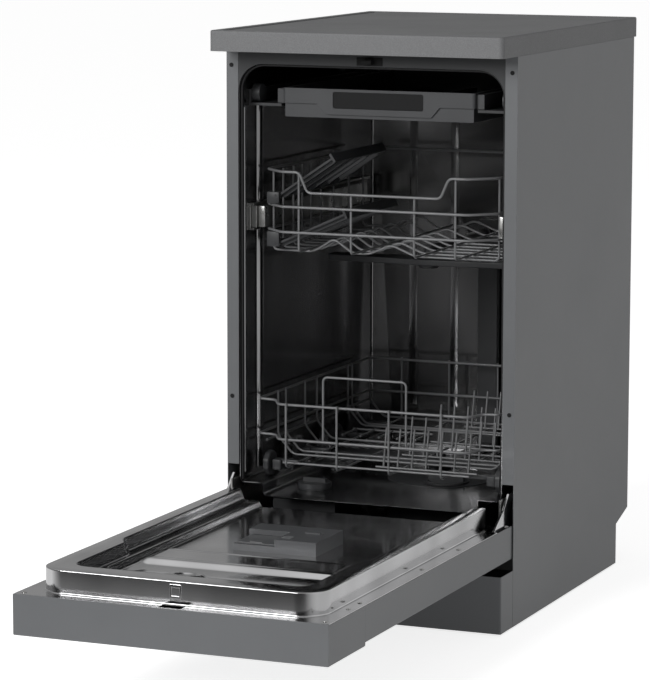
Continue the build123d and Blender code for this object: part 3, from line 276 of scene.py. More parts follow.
def brush_group():
    """Rolled sheet: fine lines along one axis and a slow waviness."""
    group, source, target = new_group(
        "rolled_sheet",
        [("Vector", "NodeSocketVector", None), ("Stretch", "NodeSocketVector", (900.0, 8.0, 900.0)),
         ("Wave Scale", "NodeSocketFloat", 7.0)],
        [("Height", "NodeSocketFloat"), ("Lines", "NodeSocketFloat"), ("Waves", "NodeSocketFloat")],
    )
    nodes, links = group.nodes, group.links
    stretch = nodes.new("ShaderNodeVectorMath")
    stretch.operation = "MULTIPLY"
    links.new(source.outputs["Vector"], stretch.inputs[0])
    links.new(source.outputs["Stretch"], stretch.inputs[1])
    lines = nodes.new("ShaderNodeTexNoise")
    lines.inputs["Scale"].default_value = 1.0
    lines.inputs["Detail"].default_value = 2.0
    links.new(stretch.outputs[0], lines.inputs["Vector"])
    waves = nodes.new("ShaderNodeTexNoise")
    waves.inputs["Detail"].default_value = 1.0
    links.new(source.outputs["Vector"], waves.inputs["Vector"])
    links.new(source.outputs["Wave Scale"], waves.inputs["Scale"])
    add = nodes.new("ShaderNodeMath")
    add.operation = "MULTIPLY_ADD"
    add.inputs[1].default_value = 0.012
    links.new(lines.outputs["Fac"], add.inputs[0])
    links.new(waves.outputs["Fac"], add.inputs[2])
    links.new(add.outputs[0], target.inputs["Height"])
    links.new(lines.outputs["Fac"], target.inputs["Lines"])
    links.new(waves.outputs["Fac"], target.inputs["Waves"])
    return group


def ramp_between(nodes, links, source, low, high, target, spread=(0.35, 0.65)):
    """Maps a mask onto a range of numbers or a range of colours."""
    if isinstance(low, float):
        node = nodes.new("ShaderNodeMapRange")
        node.inputs["From Min"].default_value, node.inputs["From Max"].default_value = spread
        node.inputs["To Min"].default_value = low
        node.inputs["To Max"].default_value = high
        links.new(source, node.inputs["Value"])
        links.new(node.outputs["Result"], target)
    else:
        node = nodes.new("ShaderNodeValToRGB")
        node.color_ramp.elements[0].position, node.color_ramp.elements[1].position = spread
        node.color_ramp.elements[0].color = (*low, 1)
        node.color_ramp.elements[1].color = (*high, 1)
        links.new(source, node.inputs["Fac"])
        links.new(node.outputs["Color"], target)


def start_material(name):
    material = bpy.data.materials.new(name)
    material.use_nodes = True
    nodes, links = material.node_tree.nodes, material.node_tree.links
    shader = nodes["Principled BSDF"]
    place = nodes.new("ShaderNodeTexCoord")
    return material, nodes, links, shader, place.outputs["Object"]


def shade(colour, factor):
    return tuple(min(1.0, c * factor) for c in colour)


GLOSS_SPREAD = (0.4, 0.9)


def bump(nodes, links, height, shader, distance):
    node = nodes.new("ShaderNodeBump")
    node.inputs["Strength"].default_value = 1.0
    node.inputs["Distance"].default_value = distance
    links.new(height, node.inputs["Height"])
    links.new(node.outputs["Normal"], shader.inputs["Normal"])


def grained(name, colour, roughness, grain=600.0, depth=0.00002, spread=0.06, tint=0.08, coat=0.0,
            specular=0.5):
    """A painted, moulded or cast finish with fine grain and a slow change of tint."""
    material, nodes, links, shader, coords = start_material(name)
    group = nodes.new("ShaderNodeGroup")
    group.node_tree = bpy.data.node_groups["fine_grain"]
    group.inputs["Scale"].default_value = grain
    links.new(coords, group.inputs["Vector"])
    ramp_between(nodes, links, group.outputs["Tint Mask"], shade(colour, 1 - tint), shade(colour, 1 + tint),
                 shader.inputs["Base Color"])
    ramp_between(nodes, links, group.outputs["Gloss Mask"], roughness - spread, roughness + spread,
                 shader.inputs["Roughness"], GLOSS_SPREAD)
    bump(nodes, links, group.outputs["Height"], shader, depth)
    shader.inputs["Specular IOR Level"].default_value = specular
    shader.inputs["Coat Weight"].default_value = coat
    return material


def speckled(name, colour, fleck, roughness, specular):
    """Laminate: two greys in fine specks over a satin ground."""
    material, nodes, links, shader, coords = start_material(name)
    specks = nodes.new("ShaderNodeTexNoise")
    specks.inputs["Scale"].default_value = 900.0
    specks.inputs["Detail"].default_value = 2.0
    links.new(coords, specks.inputs["Vector"])
    ramp_between(nodes, links, specks.outputs["Fac"], colour, fleck, shader.inputs["Base Color"],
                 (0.42, 0.62))
    group = nodes.new("ShaderNodeGroup")
    group.node_tree = bpy.data.node_groups["fine_grain"]
    group.inputs["Scale"].default_value = 450.0
    links.new(coords, group.inputs["Vector"])
    ramp_between(nodes, links, group.outputs["Gloss Mask"], roughness - 0.05, roughness + 0.05,
                 shader.inputs["Roughness"], GLOSS_SPREAD)
    bump(nodes, links, group.outputs["Height"], shader, 0.00003)
    shader.inputs["Specular IOR Level"].default_value = specular
    return material


def sheet_metal(name, colour, roughness, stretch=(900.0, 8.0, 900.0), spread=0.08, wave=0.0012,
                wave_scale=7.0):
    """Rolled stainless or plated steel, with faint lines and a slight waviness."""
    material, nodes, links, shader, coords = start_material(name)
    group = nodes.new("ShaderNodeGroup")
    group.node_tree = bpy.data.node_groups["rolled_sheet"]
    group.inputs["Stretch"].default_value = stretch
    group.inputs["Wave Scale"].default_value = wave_scale
    links.new(coords, group.inputs["Vector"])
    ramp_between(nodes, links, group.outputs["Waves"], shade(colour, 0.85), shade(colour, 1.1),
                 shader.inputs["Base Color"])
    ramp_between(nodes, links, group.outputs["Lines"], roughness - spread, roughness + spread,
                 shader.inputs["Roughness"])
    bump(nodes, links, group.outputs["Height"], shader, wave)
    shader.inputs["Metallic"].default_value = 1.0
    return material


finishes = {}


def finish(name):
    if not finishes:
        colours = bpy.context.scene.dishwasher_colours
        grain_group()
        brush_group()
        enamel = tuple(colours.enamel)
        plastic = tuple(colours.dark_plastic)
        steel = tuple(colours.steel)
        finishes.update({
            "enamel": grained("silver_grey_enamel", enamel, 0.42, 350.0, 0.000012, 0.04, 0.03, coat=0.1),
            "laminate": speckled("grey_laminate", shade(tuple(colours.worktop), 0.84),
                                 shade(tuple(colours.worktop), 1.05), 0.55, 0.45),
            "header": grained("dark_header_paint", shade(enamel, 0.3), 0.5, 350.0, 0.00001, specular=0.35),
            "plastic": grained("dark_moulded_plastic", plastic, 0.45, 700.0, 0.00003, specular=0.4),
            "tray": grained("tray_plastic", shade(plastic, 1.5), 0.42, 700.0, 0.00003, specular=0.4),
            "dispenser": grained("dispenser_plastic", shade(plastic, 2.2), 0.36, 700.0, 0.00003),
            "black": grained("black_moulded_plastic", shade(plastic, 0.2), 0.55, 800.0, 0.00003,
                             specular=0.2),
            "white": grained("natural_white_plastic", (0.45, 0.45, 0.43), 0.4, 500.0, 0.00002),
            "rubber": grained("black_seal_rubber", (0.012, 0.012, 0.013), 0.6, 500.0, 0.00005, specular=0.3),
            "wire": grained("grey_wire_coating", tuple(colours.wire), 0.36, 900.0, 0.00001, coat=0.15),
            "cast": grained("rough_cast_weight", (0.05, 0.05, 0.05), 0.7, 220.0, 0.0004),
            # The tub's steel is painted darker than the liner's, at 0.63 of it: painted shade for the dim
            # inside of the tub, not a darker steel.
            "tub": sheet_metal("tub_steel_darkened_as_painted_shade", shade(steel, 0.63), 0.17, (8.0, 300.0, 8.0), 0.015,
                               0.00025),
            "liner": sheet_metal("polished_liner_steel", steel, 0.13, (8.0, 60.0, 8.0), 0.01, 0.00015,
                                 wave_scale=11.0),
            "chrome": sheet_metal("bright_hinge_steel", shade(steel, 1.25), 0.1, (8.0, 8.0, 400.0), 0.03,
                                  0.0003),
            "zinc": sheet_metal("zinc_plated_steel", (0.45, 0.45, 0.44), 0.34, (60.0, 60.0, 60.0),
                                wave=0.0004),
        })
    return finishes[name]


# Pieces


def build_worktop():
    softened("worktop_edging", finish("laminate"), 0.5)
    softened("worktop_board", finish("laminate"), 0.3)


def build_cabinet():
    for node in ("side_panel_left", "side_panel_right", "kick_plate"):
        softened(node, finish("enamel"), 0.35)
    softened("front_header", finish("header"), 0.3)
    softened("rear_panel", finish("zinc"), 0.3)
    softened("base_tray", finish("black"), 0.6)
    softened("door_lock", finish("black"), 0.6)
    softened("cabinet_screws", finish("black"), 0.3)


def build_machine_bay():
    kinds = {
        "sump_housing": "plastic", "supply_pipe": "plastic", "circulation_pump": "plastic",
        "drain_pump": "plastic", "inlet_valve": "white", "terminal_box": "black", "salt_container": "plastic",
        "counterweight": "cast", "hinge_bracket_left": "zinc", "hinge_bracket_right": "zinc",
        "balance_spring_left": "zinc", "balance_spring_right": "zinc", "upper_rail_left": "zinc",
        "upper_rail_right": "zinc", "tray_rail_left": "plastic", "tray_rail_right": "plastic",
        "foot_front_left": "black", "foot_front_right": "black", "foot_rear_left": "black",
        "foot_rear_right": "black", "salt_cap": "plastic", "filter_cylinder": "plastic",
        "upper_rail_slides": "zinc", "hinge_arm_left": "chrome", "hinge_arm_right": "chrome",
    }
    for node, kind in kinds.items():
        softened(node, finish(kind), 0.5)


TUB = dict(half=204.0, top=799.0, ledge=184.0, floor=165.0, ledge_inner=168.0, front=62.8, rear=575.0,
           corner=38.0, rear_bevel=9.0, sheet=0.9)
TUB_HOLES = (("sump_cut", 22, 297, 80), ("salt_cut", -122, 150, 25))
HOLE_HEIGHTS = (150, 172)
SIDE_BEADS = dict(places=((80, 4.5, 3.0), (132, 9.0, 6.0)), heights=(196, 735))
REAR_RIBS = dict(places=(-132, -62, 42, 112), half_width=7, front=574.3, rear=576, heights=(225, 740))


def add_bead(bm, side, wall, y, half_width, depth, heights):
    """An upright bead pressed out of a side wall, round in section and flat on the wall."""
    radius = (half_width * half_width + depth * depth) / (2 * depth)
    axis_x = side * (wall - depth + radius)
    part = bmesh.new()
    add_rod(part, (axis_x, y, heights[0]), (axis_x, y, heights[1]), radius, 64)
    cut = bmesh.ops.bisect_plane(part, geom=part.verts[:] + part.edges[:] + part.faces[:], dist=1e-7,
                                 plane_co=point(side * wall, y, 0), plane_no=(side, 0, 0), clear_outer=True)
    rim = [g for g in cut["geom_cut"] if isinstance(g, bmesh.types.BMEdge)]
    bmesh.ops.edgeloop_fill(part, edges=rim)
    mesh = bpy.data.meshes.new("bead")
    part.to_mesh(mesh)
    part.free()
    bm.from_mesh(mesh)
    bpy.data.meshes.remove(mesh)


def build_tub():
    t = TUB
    outline = [
        (-t["half"], t["ledge"]), (-t["half"], t["top"]), (t["half"], t["top"]), (t["half"], t["ledge"]),
        (t["ledge_inner"], t["ledge"]), (t["ledge_inner"], t["floor"]),
        (-t["ledge_inner"], t["floor"]), (-t["ledge_inner"], t["ledge"]),
    ]
    radii = [4, t["corner"], t["corner"], 4, 3, 6, 6, 3]
    bm = bmesh.new()
    face = rounded_outline(bm, [(x, t["front"], z) for x, z in outline], radii, 8)
    rear = raise_face(bm, face, (0, t["rear"] - t["front"], 0))
    bevel(bm, list(rear.edges), t["rear_bevel"], 4)
    bmesh.ops.recalc_face_normals(bm, faces=bm.faces)
    bmesh.ops.reverse_faces(bm, faces=bm.faces)
    piece = mesh_object("tub_shell", bm)
    apply_modifier(piece, "SOLIDIFY", thickness=t["sheet"] * MM, offset=-1.0, use_even_offset=True)
    for name, x, y, radius in TUB_HOLES:
        bm = bmesh.new()
        add_rod(bm, (x, y, HOLE_HEIGHTS[0]), (x, y, HOLE_HEIGHTS[1]), radius, 64)
        cutter = mesh_object(name, bm)
        apply_modifier(piece, "BOOLEAN", object=cutter, operation="DIFFERENCE", solver="EXACT")
        bpy.data.objects.remove(cutter)
    dress(piece, finish("tub"), "cabinet", ("tub",), 30.0)

    bm = bmesh.new()
    low, high = REAR_RIBS["heights"]
    for x in REAR_RIBS["places"]:
        add_block(bm, (x - REAR_RIBS["half_width"], REAR_RIBS["front"], low),
                  (x + REAR_RIBS["half_width"], REAR_RIBS["rear"], high), 0.65, 3)
    for side in (-1, 1):
        for y, half_width, depth in SIDE_BEADS["places"]:
            add_bead(bm, side, t["half"] + 0.3, y, half_width, depth, SIDE_BEADS["heights"])
    finish_piece("tub_pressed_ribs", bm, finish("tub"), "cabinet")
    softened("tub_gasket", finish("rubber"), 0.9, 3)


def build_door():
    softened("door_outer_panel", finish("enamel"), 0.4)
    softened("control_panel", finish("enamel"), 0.8, 3)
    softened("door_catch", finish("chrome"), 0.8)
    softened("door_screws", finish("zinc"), 0.3)
    for node in ("power_button", "programme_button"):
        softened(node, finish("plastic"), 0.5)
    build_liner()


RIM = dict(half=200.0, front=-592.0, rear=10.0, top=184.0, corner=36.0)
PLATE = dict(rear=40.0, top=153.0, notch_half=203.0)
LINER_SHEET = 1.0
DISPENSER_HOLE = dict(half=61.8, front=-278.8, rear=-183.2)
CATCH_SLOT = dict(half=15.0, front=-611.0, rear=-595.2)
PRESSING = dict(half=184.0, front=-574.0, columns=150, rows=240)
COLUMN_PLACES = ((-184.0, -184.0), (-110.4, -145.0), (110.4, 145.0), (184.0, 184.0))
ROW_PLACES = ((-574.0, -574.0), (-187.1, -315.0), (10.0, 10.0))
PAN = dict(half=168.5, widening=13.0, widens=(-405.0, -372.0), front=-558.0, corner=24.0, wall=9.0,
           shelf=168.0, floor_half=152.0, floor_front=-505.0, floor_corner=30.0, floor_wall=7.0, floor=159.0)
RIDGE = dict(x=-2.0, half=147.0, front=-404.0, rear=-315.0, corner=14.0, slope=14.0, rise=5.0)
CRESTS = dict(places=(-384.0, -329.0), half=3.6, reach=134.0, end=12.0, rise=1.2)
TROUGH = dict(middle=-426.0, half=34.0, reach=143.0, end=14.0, depth=3.5)
DIMPLE = dict(x=-55.0, y=-447.0, radius=20.0, width=6.0, rise=2.6)
FAR_REAR = 400.0  # behind the liner's rear edge, so that the pan has no rear wall
ROUND_OVER = [(-1.0, 184.0, 0), (-0.3, 183.7, 0), (0, 183.0, 0), (0, 182.4, 0)]
FOOT = [(0, 155.0, 0), (0, 154.4, 0), (0.4, 153.4, 0), (1.4, 153.0, 0), (3.6, 153.0, 0.1)]
FLAT = [(6.5, 153.0, 0.3), (19.5, 153.0, 0.9), (22.0, 153.0, 1.0)]


def smooth(value, low, high):
    t = min(1.0, max(0.0, (value - low) / (high - low)))
    return t * t * (3 - 2 * t)


def bent_line(value, places):
    """Reads a line through (from, to) pairs at a value, so that rows can lie closer in some parts."""
    for (start, low), (end, high) in zip(places, places[1:]):
        if value <= end:
            return low + (value - start) * (high - low) / (end - start)
    return places[-1][1]


def crown(distance, half):
    """A round hump that is 1 in its middle and 0 from half its width outwards."""
    return max(0.0, 1 - (distance / half) ** 2)


def depth_inside(x, y, half, front, rear, corner):
    """How far a place lies inside a rounded rectangle, in millimetres."""
    across, along = half - abs(x), min(y - front, rear - y)
    if across < corner and along < corner:
        return corner - math.hypot(corner - across, corner - along)
    return min(across, along)


def pressed_height(x, y):
    """The liner's height between its rims: pan, floor, cross ridge, its crests, trough and dimple."""
    half = PAN["half"] + PAN["widening"] * smooth(y, *PAN["widens"])
    wall = smooth(depth_inside(x, y, half, PAN["front"], FAR_REAR, PAN["corner"]), 0, PAN["wall"])
    within = depth_inside(x, y, PAN["floor_half"], PAN["floor_front"], FAR_REAR, PAN["floor_corner"])
    step = smooth(within, 0, PAN["floor_wall"])
    across = x - RIDGE["x"]
    inward = depth_inside(across, y, RIDGE["half"], RIDGE["front"], RIDGE["rear"], RIDGE["corner"])
    ridge = smooth(inward, 0, RIDGE["slope"])
    crests = sum(crown(y - place, CRESTS["half"]) for place in CRESTS["places"])
    crests *= smooth(CRESTS["reach"] - abs(across), 0, CRESTS["end"])
    trough = crown(y - TROUGH["middle"], TROUGH["half"]) * smooth(TROUGH["reach"] - abs(x), 0, TROUGH["end"])
    ring = crown(math.hypot(x - DIMPLE["x"], y - DIMPLE["y"]) - DIMPLE["radius"], DIMPLE["width"])
    return (RIM["top"] - (RIM["top"] - PAN["shelf"]) * wall - (PAN["shelf"] - PAN["floor"]) * step
            + RIDGE["rise"] * ridge + CRESTS["rise"] * crests - TROUGH["depth"] * trough
            + DIMPLE["rise"] * ring)


def spread_out(x, y, offset, square):
    """Moves a place on the pressing's border out to an outline round the rim.

    The corner is round at the rim and goes over to a square one at the plate's edge. ROUND_OVER, FOOT and
    FLAT hold an outline's distance from the rim, its height and how square its corners are.
    """
    centre_x, centre_y = RIM["half"] - RIM["corner"], RIM["front"] + RIM["corner"]
    reach = RIM["corner"] + offset
    side = math.copysign(1.0, x)
    dx, dy = abs(x) - centre_x, centre_y - y
    if dx > 0 and dy > 0:
        run = math.hypot(dx, dy) * (1 - square) + max(dx, dy) * square
        return side * (centre_x + reach * dx / run), centre_y - reach * dy / run
    if dx > 0:
        half = centre_x + reach
        return side * (min(half, PLATE["notch_half"]) if y > 1 else half), y
    return x, centre_y - reach


def extruded(bm, edges, place):
    """Extrudes border edges and puts each new vertex where place says; returns the new border."""
    made = bmesh.ops.extrude_edge_only(bm, edges=edges)["geom"]
    verts = {g for g in made if isinstance(g, bmesh.types.BMVert)}
    for vert in verts:
        vert.co = place(vert)
    return [g for g in made if isinstance(g, bmesh.types.BMEdge) and set(g.verts) <= verts]


def cut_opening(bm, opening):
    """Takes out the faces whose middle lies in a rectangle about the centre line."""
    inside = []
    for face in bm.faces:
        middle = face.calc_center_median() / MM
        if abs(middle.x) < opening["half"] and opening["front"] < middle.y - FRONT_EDGE_Y < opening["rear"]:
            inside.append(face)
    bmesh.ops.delete(bm, geom=inside, context="FACES")


def build_liner():
    bm = bmesh.new()
    middle_y = (PRESSING["front"] + RIM["rear"]) / 2
    size = Vector((PRESSING["half"], RIM["rear"] - middle_y, 1)) * MM
    place = Matrix.LocRotScale(point(0, middle_y, 0), None, size)
    bmesh.ops.create_grid(bm, x_segments=PRESSING["columns"], y_segments=PRESSING["rows"], size=1.0,
                          matrix=place)
    for vert in bm.verts:
        x = bent_line(vert.co.x / MM, COLUMN_PLACES)
        y = bent_line(vert.co.y / MM - FRONT_EDGE_Y, ROW_PLACES)
        vert.co = point(x, y, pressed_height(x, y))
    cut_opening(bm, DISPENSER_HOLE)

    def on_border(edge):
        x = max(abs(v.co.x) for v in edge.verts) / MM
        y = [v.co.y / MM - FRONT_EDGE_Y for v in edge.verts]
        level = abs(y[0] - y[1]) < 0.1
        at_side = x > PRESSING["half"] - 0.1 and not level
        return edge.is_boundary and (at_side or max(y) < PRESSING["front"] + 0.1)

    origin = bm.verts.layers.float_vector.new("origin")
    for vert in bm.verts:
        vert[origin] = vert.co
    border = [e for e in bm.edges if on_border(e)]
    for offset, height, square in ROUND_OVER + FOOT + FLAT:
        def place(vert):
            x, y = vert[origin].x / MM, vert[origin].y / MM - FRONT_EDGE_Y
            return point(*spread_out(x, y, offset, square), height)
        border = extruded(bm, border, place)
    cut_opening(bm, CATCH_SLOT)

    rear = [e for e in bm.edges if e.is_boundary
            and min(v.co.y for v in e.verts) / MM - FRONT_EDGE_Y > RIM["rear"] - 0.1]
    rear = extruded(bm, rear, lambda v: Vector((v.co.x, v.co.y + 0.4 * MM, PLATE["top"] * MM)))
    extruded(bm, rear, lambda v: point(v.co.x / MM, PLATE["rear"], PLATE["top"]))
    bmesh.ops.remove_doubles(bm, verts=bm.verts, dist=2e-5)
    bmesh.ops.recalc_face_normals(bm, faces=bm.faces)
    if sum(f.normal.z * f.calc_area() for f in bm.faces) < 0:
        bmesh.ops.reverse_faces(bm, faces=bm.faces)
    piece = plain_piece("liner_pressing", bm, finish("liner"), "door", ("door_liner",), 75.0)
    apply_modifier(piece, "SOLIDIFY", thickness=LINER_SHEET * MM, offset=-1.0)
    piece.data.set_sharp_from_angle(angle=math.radians(50))


def build_dispenser():
    softened("dispenser_body", finish("dispenser"), 1.0, 3)
    softened("dispenser_lid", finish("dispenser"), 0.6, 2)
    softened("rinse_aid_cap", finish("dispenser"), 0.6, 2)


def mirror_x(path):
    return [(-x, y, z) for x, y, z in path]


LOWER = dict(front=73.0, rear=528.0, half=148.0, side=188.0, rim=304.0, front_rim=301.0, second=252.0,
             floor=212.0, bar=237.5, bar_start=50, axle=203.3, corner=(14, 26), side_start=22,
             slope=(24, 27))
WHEEL_PLACES = (123.0, 233.0, 377.0, 487.0)


# Radii of the racks' wires, and how far apart crossing wires lie: welded, they sink 0.05 into each other.
RING_WIRE = 2.0
THIN_WIRE = 1.75
RING_GAP = 3.7
THIN_GAP = 3.45
WIRE_END = 3  # how far a thin wire's end stands past the ring that holds it
CROSS_WIRES = (156, 185, 258, 304, 429, 446, 520)
LONG_WIRES = (-134, -53.5, 28, 109)
FRONT_WIRE = dict(half=146, y=87)
BOW = dict(left=-78, right=52, foot=246, top=345)
TINES = dict(rows=(110, 215, 335, 480), left=-8, right=150, count=7, first=4, pitch=22, lean=12,
             height=56.5)
FOLD_ROW = dict(y=372, z=216.5, left=-152, right=-20, tip_y=314, places=(-146, -116, -86, -56, -26))


def lower_ring(front_z, side_z):
    k = LOWER
    right = [
        (0, k["front"], front_z), (k["half"], k["front"], front_z),
        (k["half"] + k["corner"][0], k["front"] + k["corner"][1], (front_z + side_z) / 2),
        (k["side"], k["front"] + k["side_start"], side_z), (k["side"], k["rear"], side_z),
        (0, k["rear"], side_z),
    ]
    return list(reversed(mirror_x(right)))[:-1] + right[1:]


CLIP = dict(inner=162, outer=176, half=9, low=194, high=210)
CLIP_ARM = dict(inner=132, outer=163, half=4, low=203, high=210)
STUB = dict(inner=175, outer=190, radius=4.0)


def add_side_block(bm, side, y, block, width, segments=2):
    """A rounded block at the left or the right, lying half its length to each side of y."""
    low, high = sorted((side * block["inner"], side * block["outer"]))
    add_block(bm, (low, y - block["half"], block["low"]), (high, y + block["half"], block["high"]),
              width, segments)


def build_lower_rack():
    k = LOWER
    coat = finish("wire")
    rings = [lower_ring(k["front_rim"], k["rim"]), lower_ring(k["second"] - 3, k["second"])]
    bar_front = k["front"] + k["bar_start"]
    rings += [[(side * k["side"], bar_front, k["bar"]), (side * k["side"], k["rear"], k["bar"])]
              for side in (-1, 1)]
    wire_piece("lower_rack_rings", rings, RING_WIRE, 7.0, coat, "lower_basket", ("lower_rack",))

    inside = k["side"] - RING_GAP
    run, rise = k["slope"]
    thin = []
    for y in CROSS_WIRES:
        right = [(inside, y, k["rim"] + WIRE_END), (inside, y, k["floor"] + rise),
                 (inside - run, y, k["floor"]), (0, y, k["floor"])]
        thin.append(right[:-1] + list(reversed(mirror_x(right)))[1:])
    thin.append([(side * FRONT_WIRE["half"], FRONT_WIRE["y"], k["floor"]) for side in (-1, 1)])
    long_z = k["floor"] - THIN_GAP
    front_y, rear_y, bow_y = k["front"] - RING_GAP, k["rear"] + RING_GAP, k["front"] + RING_GAP
    for x in LONG_WIRES:
        thin.append([(x, front_y, k["front_rim"] + WIRE_END), (x, front_y, long_z),
                     (x, rear_y, long_z), (x, rear_y, k["rim"] + WIRE_END)])
    thin.append([(BOW["left"], bow_y, BOW["foot"]), (BOW["left"], bow_y, BOW["top"]),
                 (BOW["right"], bow_y, BOW["top"]), (BOW["right"], bow_y, BOW["foot"])])
    wire_piece("lower_rack_wires", thin, THIN_WIRE, 7.0, coat, "lower_basket")

    tines = []
    for y in TINES["rows"]:
        tines.append([(TINES["left"], y, k["floor"]), (TINES["right"], y, k["floor"])])
        for index in range(TINES["count"]):
            x = TINES["first"] + TINES["pitch"] * index
            tines.append([(x, y, k["floor"]), (x, y + TINES["lean"], k["floor"] + TINES["height"])])
    wire_piece("lower_rack_tines", tines, 1.6, 3.0, coat, "lower_basket")

    f = FOLD_ROW
    row = [[(f["left"], f["y"], f["z"]), (f["right"], f["y"], f["z"])]]
    row += [[(x, f["y"], f["z"]), (x, f["tip_y"], f["z"])] for x in f["places"]]
    wire_piece("fold_tine_row", row, 1.7, 3.0, coat, "fold_tines_body", ("fold_tines",))

    bm = bmesh.new()
    for y in WHEEL_PLACES:
        for side in (-1, 1):
            add_side_block(bm, side, y, CLIP, 2.0, 3)
            add_side_block(bm, side, y, CLIP_ARM, 1.5)
            add_rod(bm, (side * STUB["inner"], y, k["axle"]), (side * STUB["outer"], y, k["axle"]),
                    STUB["radius"])
    finish_piece("lower_rack_clips", bm, finish("plastic"), "lower_basket")


WHEEL_PROFILE = [
    (4.1, 0), (17.0, 0), (18.8, 1.2), (18.8, 7.8), (17.4, 9.0), (16.2, 9.0), (15.6, 8.0), (14.0, 8.0),
    (13.4, 9.4), (12.2, 9.4), (11.6, 8.0), (8.8, 8.0), (8.3, 12.4), (7.5, 13.0), (4.1, 13.0), (4.1, 0),
]
WHEEL = dict(x=178, sides=72)
TREAD = dict(inner=15.9, lobes=9, depth=0.018)


def build_wheels():
    for number, y in enumerate(WHEEL_PLACES, start=1):
        bm = bmesh.new()
        for side in (-1, 1):
            hub = (side * WHEEL["x"], y, LOWER["axle"])
            add_lathe(bm, WHEEL_PROFILE, hub, (side, 0, 0), WHEEL["sides"])
        centre = point(0, y, LOWER["axle"])
        for vert in bm.verts:
            dy, dz = vert.co.y - centre.y, vert.co.z - centre.z
            if math.hypot(dy, dz) > TREAD["inner"] * MM:
                lobe = 1 - TREAD["depth"] * (1 - math.cos(TREAD["lobes"] * math.atan2(dz, dy)))
                vert.co.y, vert.co.z = centre.y + dy * lobe, centre.z + dz * lobe
        node = f"rack_wheels_{number}"
        finish_piece(node + "_finished", bm, finish("plastic"), node + "_body", (node,))


UPPER = dict(front=76.0, rear=500.0, half=144.0, side=180.0, rim=643.0, dip=613.5, second=592.0,
             third=555.0, floor=523.0, tip=34.0, short=68.0, lap=6.0)
DIP = dict(outer=116, inner=103)
UPPER_CROSS_WIRES = (122, 157, 195, 228, 262, 300, 350, 410, 470)
UPPER_LONG_WIRES = (-118, -36, 62, 125)
FLOOR_WAVES = ((-112, 0), (-80, 20), (-50, 0), (-25, 0), (10, 15), (48, 0))
SHELF_PINS = ((536, (531, 553)), (606, (594, 611)))
PIN = dict(x=-160, front=92, rear=304, radius=1.8)
PIN_CLIP = dict(left=-174.5, right=-155, length=5.5, half=5)
RACK_RAIL = dict(inner=182, outer=193, front=103, rear=500, low=557, high=589)
FEED_PIPE = dict(y=300, rear=541, z=511, low=488, high=518, radius=7.0)


def build_upper_rack():
    k = UPPER
    coat = finish("wire")
    front, side, half, tip = k["front"], k["side"], k["half"], k["tip"]
    rim = [
        (-side, k["rear"], k["rim"]), (-side, front + tip, k["rim"]), (-half, front, k["rim"]),
        (-DIP["outer"], front, k["rim"]), (-DIP["inner"], front, k["dip"]),
        (DIP["inner"], front, k["dip"]), (DIP["outer"], front, k["rim"]),
        (half, front, k["rim"]), (side, front + tip, k["rim"]), (side, k["rear"], k["rim"]),
        (-side + k["lap"], k["rear"], k["rim"]),
    ]
    rings = [rim]
    for z, end in ((k["second"], front + k["short"]), (k["third"], k["rear"])):
        rings.append([(-side, end, z), (-side, front + tip, z), (-half, front, z), (half, front, z),
                      (side, front + tip, z), (side, end, z)])
    wire_piece("upper_rack_rings", rings, RING_WIRE, 6.0, coat, "upper_basket", ("upper_rack",))

    inside, low = side - RING_GAP, k["floor"]
    waves = [(x, low + rise) for x, rise in FLOOR_WAVES]
    top = k["rim"] - WIRE_END
    section = [(-inside, top), (-inside, low), *waves, (inside, low), (inside, top)]
    thin = [[(x, y, z) for x, z in section] for y in UPPER_CROSS_WIRES]
    long_z = low + THIN_GAP
    for x in UPPER_LONG_WIRES:
        top = k["rim"] if abs(x) > DIP["outer"] else k["dip"]
        thin.append([(x, front + RING_GAP, top), (x, front + RING_GAP, long_z),
                     (x, k["rear"] - RING_GAP, long_z)])
    wire_piece("upper_rack_wires", thin, THIN_WIRE, 7.0, coat, "upper_basket")

    bm = bmesh.new()
    for direction in (-1, 1):
        low_x, high_x = sorted((direction * RACK_RAIL["inner"], direction * RACK_RAIL["outer"]))
        add_block(bm, (low_x, RACK_RAIL["front"], RACK_RAIL["low"]),
                  (high_x, RACK_RAIL["rear"], RACK_RAIL["high"]), 1.5, 3)
    finish_piece("upper_rack_side_rails", bm, finish("zinc"), "upper_basket")

    bm = bmesh.new()
    p = FEED_PIPE
    add_rod(bm, (0, p["y"], p["z"]), (0, p["rear"], p["z"]), p["radius"], 32, 1.5)
    add_rod(bm, (0, p["y"], p["low"]), (0, p["y"], p["high"]), p["radius"], 32, 1.5)
    left, right, half = PIN_CLIP["left"], PIN_CLIP["right"], PIN_CLIP["half"]
    front_end, rear_start = PIN["front"] + PIN_CLIP["length"], PIN["rear"] - PIN_CLIP["length"]
    for pin_z, (foot, head) in SHELF_PINS:
        add_rod(bm, (PIN["x"], PIN["front"], pin_z), (PIN["x"], PIN["rear"], pin_z), PIN["radius"], 16)
        add_block(bm, (left, PIN["front"], foot), (right, front_end, head), 1.2)
        add_block(bm, (left, rear_start, pin_z - half), (right, PIN["rear"], pin_z + half), 1.2)
    finish_piece("upper_rack_pipe_and_clips", bm, finish("plastic"), "upper_basket")


def build_spray_arms():
    for node in ("lower_spray_arm", "upper_spray_arm"):
        softened(node, finish("plastic"), 2.0, 3)


def build_cup_shelves():
    for node in ("cup_shelf_lower", "cup_shelf_upper"):
        softened(node, finish("plastic"), 0.5, 2)


def build_cutlery_tray():
    softened("cutlery_tray", finish("tray"), 0.9, 3)
    softened("tray_grip", finish("black"), 0.4)


# Stage


def math_node(nodes, links, operation, first, second):
    node = nodes.new("ShaderNodeMath")
    node.operation = operation
    for socket, value in zip(node.inputs, (first, second)):
        if isinstance(value, (int, float)):
            socket.default_value = value
        else:
            links.new(value, socket)
    return node.outputs[0]


